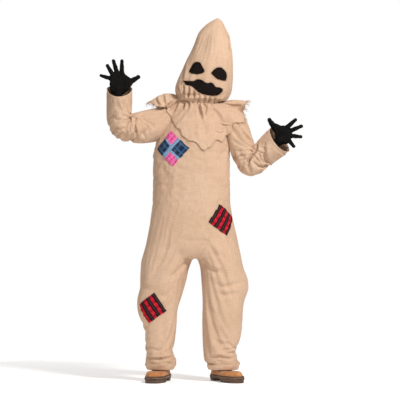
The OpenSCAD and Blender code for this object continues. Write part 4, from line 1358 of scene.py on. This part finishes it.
hood_tree = tree_of(hood)
m = hood.modifiers.new("thickness", "SOLIDIFY")
m.thickness = 0.0022
m.offset = -1.0
apply_modifiers(hood)
hood.data.materials.append(MAT["burlap"])
gauzes, edge_shapes, eye_thread = {}, [], []
for name, points in OPENINGS.items():
    outline = closed_curve(points, 72)
    jag = 0.0011 * noise(np.stack([outline[:, 0], outline[:, 1], 0 * outline[:, 0]], 1), 170, 6)
    middle = outline.mean(0)
    outline += (outline - middle) / np.linalg.norm(outline - middle, axis=1)[:, None] * jag[:, None]
    count = len(outline)
    if np.sum(outline[:, 0] * np.roll(outline[:, 1], -1) - np.roll(outline[:, 0], -1) * outline[:, 1]) < 0:
        outline = outline[::-1]
    near = [(x, -0.30, z) for x, z in outline]
    far = [(x, hood_y - 0.030, z) for x, z in outline]
    faces = [(i, (i + 1) % count, count + (i + 1) % count, count + i)[::-1] for i in range(count)]
    faces += [tuple(range(count)), tuple(range(2 * count - 1, count - 1, -1))]
    cutter = piece("cutter", near + far, faces)
    bm = bmesh.new()
    bm.from_mesh(cutter.data)
    bmesh.ops.recalc_face_normals(bm, faces=bm.faces)
    bm.to_mesh(cutter.data)
    bm.free()
    cut = hood.modifiers.new("cut", "BOOLEAN")
    cut.operation = "DIFFERENCE"
    cut.object = cutter
    cut.solver = "EXACT"
    apply_modifiers(hood)
    remove(cutter)

    wide = middle + (outline - middle) * 1.16
    low, high = wide.min(0), wide.max(0)
    nx, nz = int((high[0] - low[0]) / 0.003), int((high[1] - low[1]) / 0.003)
    gx, gz = np.meshgrid(np.linspace(low[0], high[0], nx), np.linspace(low[1], high[1], nz))
    keep = inside(wide, gx.ravel(), gz.ravel())
    index, pts = -np.ones(nx * nz, int), []
    for k in np.where(keep)[0]:
        p = drop_on(hood_tree, gx.ravel()[k], gz.ravel()[k], -1)
        if p is not None:
            index[k] = len(pts)
            pts.append(p)
    pts, n = nearest(hood_tree, np.array(pts))
    sag = 0.0045 + 0.0010 * noise(pts, 60, 8)
    faces = []
    for j in range(nz - 1):
        for i in range(nx - 1):
            corners = (j * nx + i, j * nx + i + 1, (j + 1) * nx + i + 1, (j + 1) * nx + i)
            q = [index[c] for c in corners]
            if min(q) >= 0:
                faces.append(q)
    gauze = piece(name + "_gauze", pts - n * sag[:, None], faces, MAT["gauze"])
    set_weave(gauze, pts[:, [0, 2]])
    m = gauze.modifiers.new("thickness", "SOLIDIFY")
    m.thickness = 0.0008
    apply_modifiers(gauze)
    gauzes[name] = gauze
    rim = np.array([drop_on(hood_tree, x, z, -1) for x, z in middle + (outline - middle) * 1.012])
    rim, n = nearest(hood_tree, rim)
    closed_rim = np.concatenate([rim, rim[:2]])
    edge_shapes.append(tube_along(closed_rim - np.concatenate([n, n[:2]]) * 0.0008, 0.0014, 6))
    ring = resample(rim, 0.0075, closed=True)
    ring, n = nearest(hood_tree, ring)
    for p, q in zip(ring, n):
        out = np.array([p[0] - middle[0], 0, p[2] - middle[1]])
        out = unit(out - (out @ q) * q)
        steps = np.linspace(-0.0012, 0.0048, 5)
        lift = np.array([-0.0010, 0.0008, 0.0010, 0.0007, -0.0009])
        eye_thread.append(tube_along(p + np.outer(steps, out) + np.outer(lift, q), 0.0006, 5))
# The rims take the darker burlap copy: painted shade round the face openings.
rims = gather("opening_rims", edge_shapes, MAT["burlap_painted_shade"])
set_weave(rims, points_of(rims)[:, [0, 2]])
face_stitches = gather("opening_stitches", eye_thread, MAT["dark_thread"])
seam_path = []
for sign in (-1, 1):
    line = []
    for z in np.linspace(1.50, 1.885, 70):
        t = np.array(HOOD)
        edge = np.interp(z, t[:, 2], t[:, 0 if sign < 0 else 1])
        hit = hood_tree.ray_cast(Vector((edge + sign * 0.1, hood_y, z)), Vector((-sign, 0, 0)))
        if hit[0] is not None:
            line.append(np.array(hit[0]))
    p, n = nearest(hood_tree, resample(np.array(line), 0.005))
    seam_path.append(ribbon(p, n, 0.0055, 0.0022))
# The hood's side seams take the darker burlap copy: painted shade along them.
hood_seams = gather("hood_seams", seam_path, MAT["burlap_painted_shade"])
set_weave(hood_seams, points_of(hood_seams)[:, [1, 2]])
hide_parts("hood", "head_form")
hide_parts("eye_panel_right")
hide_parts("eye_panel_left")
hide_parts("mouth_panel")
for obj, slot in ((hood, "burlap"), (rims, "burlap"), (hood_seams, "burlap"), (face_stitches, "black_gauze"),
                  *((o, "black_gauze") for o in gauzes.values())):
    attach(obj, "head")

# ---------------------------------------------------------------- collar

# Where the collar's edge comes, round the neck from the figure's right side through the front:
# [degrees, x, y or None where it lies on the cloth below, z, rise of the cloth between neck and edge]
COLLAR = [
    (-180, -0.268, 0.022, 1.466, 0.034), (-172, -0.262, 0.000, 1.456, 0.028), (-164, -0.228, -0.026, 1.442, 0.020),
    (-156, -0.192, -0.050, 1.434, 0.012), (-149, -0.168, None, 1.428, 0.006), (-143, -0.170, None, 1.402, 0.004),
    (-137, -0.153, None, 1.386, 0.002), (-130, -0.139, None, 1.362, 0.0), (-124, -0.129, None, 1.332, 0.0),
    (-117, -0.104, None, 1.320, 0.0), (-111, -0.090, None, 1.280, 0.0), (-105, -0.067, None, 1.257, 0.0),
    (-99, -0.038, None, 1.258, 0.0), (-94, -0.009, None, 1.231, 0.0), (-88, 0.024, None, 1.202, 0.0),
    (-82, 0.053, None, 1.227, 0.0), (-76, 0.083, None, 1.260, 0.0), (-69, 0.114, None, 1.250, 0.0),
    (-62, 0.136, None, 1.290, 0.0), (-56, 0.164, None, 1.298, 0.0), (-49, 0.174, None, 1.345, 0.0),
    (-42, 0.218, None, 1.352, 0.0), (-34, 0.236, None, 1.376, 0.0), (-24, 0.230, None, 1.404, 0.004),
    (-13, 0.232, -0.020, 1.446, 0.008), (-4, 0.246, 0.004, 1.470, 0.008), (5, 0.238, 0.030, 1.462, 0.010),
    (16, 0.226, 0.060, 1.428, 0.006), (32, 0.205, None, 1.385, 0.0), (50, 0.150, None, 1.330, 0.0),
    (70, 0.075, None, 1.275, 0.0), (90, 0.000, None, 1.248, 0.0), (110, -0.080, None, 1.280, 0.0),
    (130, -0.145, None, 1.330, 0.0), (148, -0.190, None, 1.395, 0.004), (163, -0.232, 0.060, 1.440, 0.020),
    (172, -0.258, 0.042, 1.462, 0.030), (180, -0.268, 0.022, 1.466, 0.034),
]
collar_cols, collar_rows, collar_gap = 200, 34, 0.0055


def closed_copy(obj):
    copy = bpy.data.objects.new("closed", obj.data.copy())
    bpy.context.scene.collection.objects.link(copy)
    bm = bmesh.new()
    bm.from_mesh(copy.data)
    bmesh.ops.holes_fill(bm, edges=[e for e in bm.edges if e.is_boundary])
    bm.to_mesh(copy.data)
    bm.free()
    return copy


under = join([closed_copy(o) for o in (suit, *(closed_sleeve[s] for s in SIDES))], "under")
remesh(under, 0.009)
remove(*closed_sleeve.values())
under_tree = tree_of(under)


def lift_clear(points, gap):
    """Moves points that are under the cloth, or nearer to it than gap, out of it."""
    out = points.copy()
    for k, p in enumerate(points):
        at, n, _, far = under_tree.find_nearest(Vector(p))
        if far < 0.08:
            n, at = np.array(n), np.array(at)
            depth = (p - at) @ n
            if depth < gap:
                out[k] = p + n * (gap - depth)
    return out


angles = np.linspace(-math.pi, math.pi, collar_cols, endpoint=False)
rng = np.random.default_rng(11)
degrees = np.degrees(angles)
keys = [row[0] for row in COLLAR]
ends = []
for row in COLLAR:
    angle, x, y, z, _ = row
    at = np.array([x, y, z]) if y is not None else drop_on(under_tree, x, z, -1 if angle < 0 else 1)
    if at is None:
        at = np.array([x, body_y, z])
    ends.append(at)
ends = np.array(ends)
edge = np.stack([np.interp(degrees, keys, ends[:, k]) for k in range(3)], 1)
rise = np.interp(degrees, keys, [row[4] for row in COLLAR])
teeth = rng.uniform(-1, 1, collar_cols) * 0.006 + np.where(rng.uniform(size=collar_cols) > 0.94, 0.010, 0.0)
start = np.stack(
    [
        0.010 + 0.104 * np.cos(angles),
        neck[1] + 0.088 * np.sin(angles),
        1.475 - 0.011 * np.cos(angles) + 0.020 * np.sin(angles),
    ],
    1,
)
ruffle = 0.0055 * np.sin(31 * angles + 1.5 * np.sin(4 * angles)) + 0.0025 * np.sin(53 * angles)
away = edge - start
away /= np.linalg.norm(away, axis=1)[:, None]
grid = []
for t in np.linspace(0, 1, collar_rows):
    p = start + (edge - start) * t + np.outer(rise * math.sin(math.pi * t), UP)
    p += (ruffle * math.exp(-t / 0.24))[:, None] * np.stack([np.cos(angles), np.sin(angles), 0 * angles], 1)
    p += away * (teeth * max(0.0, (t - 0.9) / 0.1))[:, None]
    grid.append(p)
grid = np.array(grid)
grid = lift_clear(grid.reshape(-1, 3), collar_gap).reshape(grid.shape)
for _ in range(10):
    inner = grid[1:-1]
    smooth = (grid[:-2] + grid[2:] + np.roll(inner, 1, 1) + np.roll(inner, -1, 1)) / 4
    grid[2:-1] = (0.5 * inner + 0.5 * smooth)[1:]
    grid = lift_clear(grid.reshape(-1, 3), collar_gap).reshape(grid.shape)
collar = piece("collar_cloth", grid.reshape(-1, 3), grid_faces(collar_rows, collar_cols))
add_collider(under)
rows = np.repeat(np.arange(collar_rows), collar_cols)
held = np.where(rows < 2, 1.0, np.where(rows > collar_rows - 3, 0.75, 0.35))
run_cloth(collar, held, 16, grow=0.05, stiffness=12.0, bending=0.8, gravity=0.5, quality=5)
remove(under)
relax(collar, 0.3, 1)
subdivide(collar)
for line, width, depth, ridge in (
    ([(0.004, 1.452), (0.012, 1.420), (0.020, 1.368)], 0.008, 0.016, 0.8),
    ([(0.034, 1.452), (0.044, 1.425), (0.030, 1.385)], 0.008, 0.009, 0.7),
    ([(-0.074, 1.468), (-0.068, 1.450), (-0.080, 1.425)], 0.006, 0.014, 0.8),
    ([(-0.050, 1.462), (-0.046, 1.440), (-0.060, 1.410)], 0.008, 0.008, 0.7),
    ([(-0.100, 1.462), (-0.116, 1.425), (-0.136, 1.392)], 0.010, 0.010, 0.7),
    ([(-0.125, 1.470), (-0.148, 1.448), (-0.172, 1.425)], 0.009, 0.010, 0.7),
    ([(-0.080, 1.420), (-0.110, 1.395), (-0.142, 1.382)], 0.010, 0.007, 0.6),
    ([(-0.070, 1.395), (-0.095, 1.360), (-0.118, 1.345)], 0.010, 0.006, 0.6),
    ([(0.090, 1.454), (0.140, 1.434), (0.205, 1.424)], 0.012, 0.009, 0.6),
    ([(0.120, 1.460), (0.170, 1.452), (0.225, 1.455)], 0.008, 0.007, 0.6),
    ([(0.070, 1.440), (0.110, 1.400), (0.130, 1.340)], 0.014, 0.008, 0.6),
    ([(0.105, 1.352), (0.130, 1.345), (0.158, 1.342)], 0.005, 0.006, 0.8),
    ([(0.085, 1.312), (0.105, 1.305), (0.120, 1.310)], 0.005, 0.005, 0.8),
    ([(-0.010, 1.350), (-0.008, 1.310), (-0.012, 1.270)], 0.012, 0.004, 0.5),
    ([(0.045, 1.350), (0.050, 1.310), (0.040, 1.260)], 0.014, 0.004, 0.5),
    ([(-0.225, 1.500), (-0.215, 1.470), (-0.200, 1.445)], 0.008, 0.008, 0.7),
    ([(-0.185, 1.512), (-0.178, 1.480), (-0.172, 1.450)], 0.008, 0.007, 0.7),
):
    fold(collar, line, width, depth, ridge=ridge)
place_of = points_of(collar)
set_weave(collar, np.stack([place_of[:, 0], place_of[:, 2] + 0.9 * np.abs(place_of[:, 1] - body_y)], 1))
tips = []
bm = bmesh.new()
bm.from_mesh(collar.data)
neck_middle = Vector((0.010, neck[1], 1.475))
for e in bm.edges:
    if e.is_boundary:
        mid = (e.verts[0].co + e.verts[1].co) / 2
        face = e.link_faces[0]
        if (mid - neck_middle).length > 0.125:
            outward = unit(np.array(mid - face.calc_center_median()))
            tips.append((np.array(mid), outward, np.array(face.normal)))
bm.free()
fray = []
for p, out, n in tips:
    if rng.uniform() > 0.85:
        continue
    wing = abs(p[0]) > 0.19
    length = rng.uniform(0.003, 0.011) + (rng.uniform(0.0, 0.020) if wing else 0.0)
    side = np.cross(out, n)
    lean, curl = rng.normal(scale=0.45), rng.normal(scale=0.25)
    t = np.linspace(-0.15, 1, 6)[:, None]
    path = p + length * (t * out + (t**2) * (lean * side + curl * n) - 0.2 * t**2 * UP)
    fray.append(tube_along(path, rng.uniform(0.0006, 0.0011), 4, np.linspace(1, 0.35, 6)))
m = collar.modifiers.new("thickness", "SOLIDIFY")
m.thickness = 0.0018
m.offset = 1.0
apply_modifiers(collar)
collar.data.materials.append(MAT["burlap"])
# The frayed threads take the darker burlap copy: painted shade along the collar's edge.
collar_fray = gather("collar_fray", fray, MAT["burlap_painted_shade"])
set_weave(collar_fray, points_of(collar_fray)[:, [0, 2]])
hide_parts("collar")
for obj in (collar, collar_fray):
    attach(obj, "frame")

# ---------------------------------------------------------------- gloves

# In each hand's own upright plane, in metres from the wrist.
# Fingers: [base x, base z, tip x, tip z, base radius, tip radius]
FINGERS = {
    "right": [
        (-0.034, 0.058, -0.089, 0.075, 0.0100, 0.0066), (-0.027, 0.076, -0.057, 0.127, 0.0108, 0.0070),
        (-0.006, 0.086, -0.025, 0.151, 0.0112, 0.0073), (0.018, 0.086, 0.019, 0.151, 0.0112, 0.0070),
        (0.056, 0.038, 0.104, 0.068, 0.0140, 0.0084),
    ],
    "left": [
        (0.050, 0.002, 0.076, -0.030, 0.0100, 0.0066), (0.058, 0.026, 0.113, 0.020, 0.0108, 0.0070),
        (0.054, 0.050, 0.116, 0.075, 0.0112, 0.0073), (0.038, 0.068, 0.085, 0.109, 0.0112, 0.0070),
        (-0.030, 0.072, -0.055, 0.109, 0.0135, 0.0088),
    ],
}
# Groups of balls, [x, z, radius], whose hulls make the palm and the webs
PALM = {
    "right": [
        [(-0.024, -0.006, 0.014), (0.022, -0.006, 0.014), (0.042, 0.010, 0.014), (-0.030, 0.028, 0.013),
         (-0.029, 0.056, 0.011), (-0.024, 0.074, 0.010), (-0.006, 0.082, 0.010), (0.020, 0.084, 0.010),
         (0.040, 0.050, 0.013)],
        [(0.036, 0.006, 0.012), (0.060, 0.036, 0.013), (0.030, 0.050, 0.013)],
        [(0.024, 0.076, 0.009), (0.040, 0.062, 0.010), (0.062, 0.048, 0.010)],
        [(-0.034, 0.054, 0.008), (-0.044, 0.060, 0.007), (-0.030, 0.074, 0.008)],
    ],
    "left": [
        [(-0.004, -0.002, 0.013), (0.036, -0.003, 0.012), (0.046, 0.010, 0.012), (0.050, 0.036, 0.012),
         (0.040, 0.058, 0.011), (0.012, 0.064, 0.013), (-0.016, 0.054, 0.012)],
        [(-0.016, 0.050, 0.012), (-0.030, 0.072, 0.012), (0.004, 0.064, 0.012)],
        [(-0.022, 0.078, 0.009), (0.000, 0.068, 0.010), (-0.032, 0.082, 0.010)],
        [(0.012, 0.068, 0.009), (0.036, 0.066, 0.010), (0.030, 0.058, 0.010)],
    ],
}
HAND_TURN = {"right": 0.0, "left": -15.0}
FINGER_FULLNESS = 1.18
PALM_FULLNESS = 0.0025


def ball_points(centre, radius):
    out = []
    for k in range(90):
        z = 1 - (2 * k + 1) / 90
        a = k * 2.399963
        across = math.sqrt(1 - z * z)
        out.append(centre + radius * np.array([across * math.cos(a), across * math.sin(a), z]))
    return out


def hull_of(balls):
    bm = bmesh.new()
    for centre, radius in balls:
        for p in ball_points(np.asarray(centre, float), radius):
            bm.verts.new(p)
    made = bmesh.ops.convex_hull(bm, input=bm.verts)
    inner = [v for v in made["geom_interior"] if isinstance(v, bmesh.types.BMVert)]
    bmesh.ops.delete(bm, geom=inner, context="VERTS")
    mesh = bpy.data.meshes.new("hull")
    bm.to_mesh(mesh)
    bm.free()
    obj = bpy.data.objects.new("hull", mesh)
    bpy.context.scene.collection.objects.link(obj)
    return obj


for s in SIDES:
    parts = [hull_of([((x, 0, z), r + PALM_FULLNESS) for x, z, r in group]) for group in PALM[s]]
    for x0, z0, x1, z1, r0, r1 in FINGERS[s]:
        for k in range(4):
            balls = []
            for f in (k / 4, (k + 1) / 4):
                bow = -0.006 * math.sin(math.pi * f * 0.9)
                knuckle = 1 + 0.05 * math.cos(f * 4 * math.pi)
                radius = (r0 + (r1 - r0) * f) * knuckle * FINGER_FULLNESS
                balls.append(((x0 + (x1 - x0) * f, bow * 0.6, z0 + (z1 - z0) * f), radius))
            parts.append(hull_of(balls))
    turn = Matrix.Rotation(math.radians(HAND_TURN[s]), 4, "Z")
    local_fore = np.array(turn.inverted() @ Vector(fore[s]))
    parts.append(hull_of([(local_fore * -0.060, 0.024), (local_fore * 0.004, 0.022)]))
    glove = join(parts, "knit_glove_" + s)
    glove.data.transform(Matrix.Translation(Vector(wrist[s])) @ turn)
    remesh(glove, 0.0019)
    relax(glove, 0.5, 8)
    n, co = normals_of(glove), points_of(glove)
    set_points(glove, co + n * (0.0008 + 0.0007 * noise(co, 50, 9))[:, None])
    glove.data.materials.clear()
    glove.data.materials.append(MAT["knit"])
    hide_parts("glove_" + s)
    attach(glove, "hand_" + s)

# ---------------------------------------------------------------- boots

for s in SIDES:
    source = frame["nodes"]["boot_upper_" + s]
    boot = bpy.data.objects.new("suede_boot_" + s, source.data.copy())
    bpy.context.scene.collection.objects.link(boot)
    boot.data.materials.clear()
    remesh(boot, 0.0032)
    relax(boot, 0.5, 6)
    sole_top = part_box("sole_" + s)[1][2]
    co, n = points_of(boot), normals_of(boot)
    low_part = np.clip((sole_top + 0.020 - co[:, 2]) / 0.020, 0, 1)
    co[:, 2] -= 0.013 * low_part
    co += n * (0.0050 * low_part)[:, None] * np.array([1.0, 1.0, 0.0])
    set_points(boot, co)
    boot.data.materials.append(MAT["suede"])
    sole_source = frame["nodes"]["sole_" + s]
    sole = bpy.data.objects.new("boot_sole_" + s, sole_source.data.copy())
    bpy.context.scene.collection.objects.link(sole)
    sole.data.materials.clear()
    remesh(sole, 0.0030)
    relax(sole, 0.4, 2)
    sole.data.materials.append(MAT["sole"])
    tree = tree_of(sole)
    lo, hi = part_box("sole_" + s)
    middle = (np.array(lo) + np.array(hi)) / 2
    welt = []
    for a in np.linspace(0, 2 * math.pi, 200, endpoint=False):
        way = Vector((math.cos(a), math.sin(a), 0))
        hit = tree.ray_cast(Vector((middle[0], middle[1], hi[2] - 0.006)) + way * 0.3, -way)
        if hit[0] is not None:
            welt.append(np.array(hit[0]))
    welt = resample(np.array(welt), 0.004, closed=True)
    out = welt - middle
    out[:, 2] = 0
    out /= np.linalg.norm(out, axis=1)[:, None]
    shut = np.arange(len(welt) + 1) % len(welt)
    bead = tube_along((welt + out * 0.0012 - UP * 0.0062)[shut], 0.0026, 8)
    rail = (welt + out * 0.0020 - UP * 0.0036)[shut]
    sewn = stitches(rail, np.tile(UP, (len(rail), 1)), 0.0045, 0.003, 0.0006, 0.0008)
    welt_obj = gather("boot_welt_" + s, [bead], MAT["sole"])
    sewn_obj = gather("boot_stitches_" + s, sewn, MAT["tan_thread"])
    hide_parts("boot_upper_" + s)
    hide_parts("sole_" + s)
    for obj, slot in ((boot, "suede"), (sole, "sole_rubber"), (welt_obj, "sole_rubber"), (sewn_obj, "suede")):
        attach(obj, "frame")
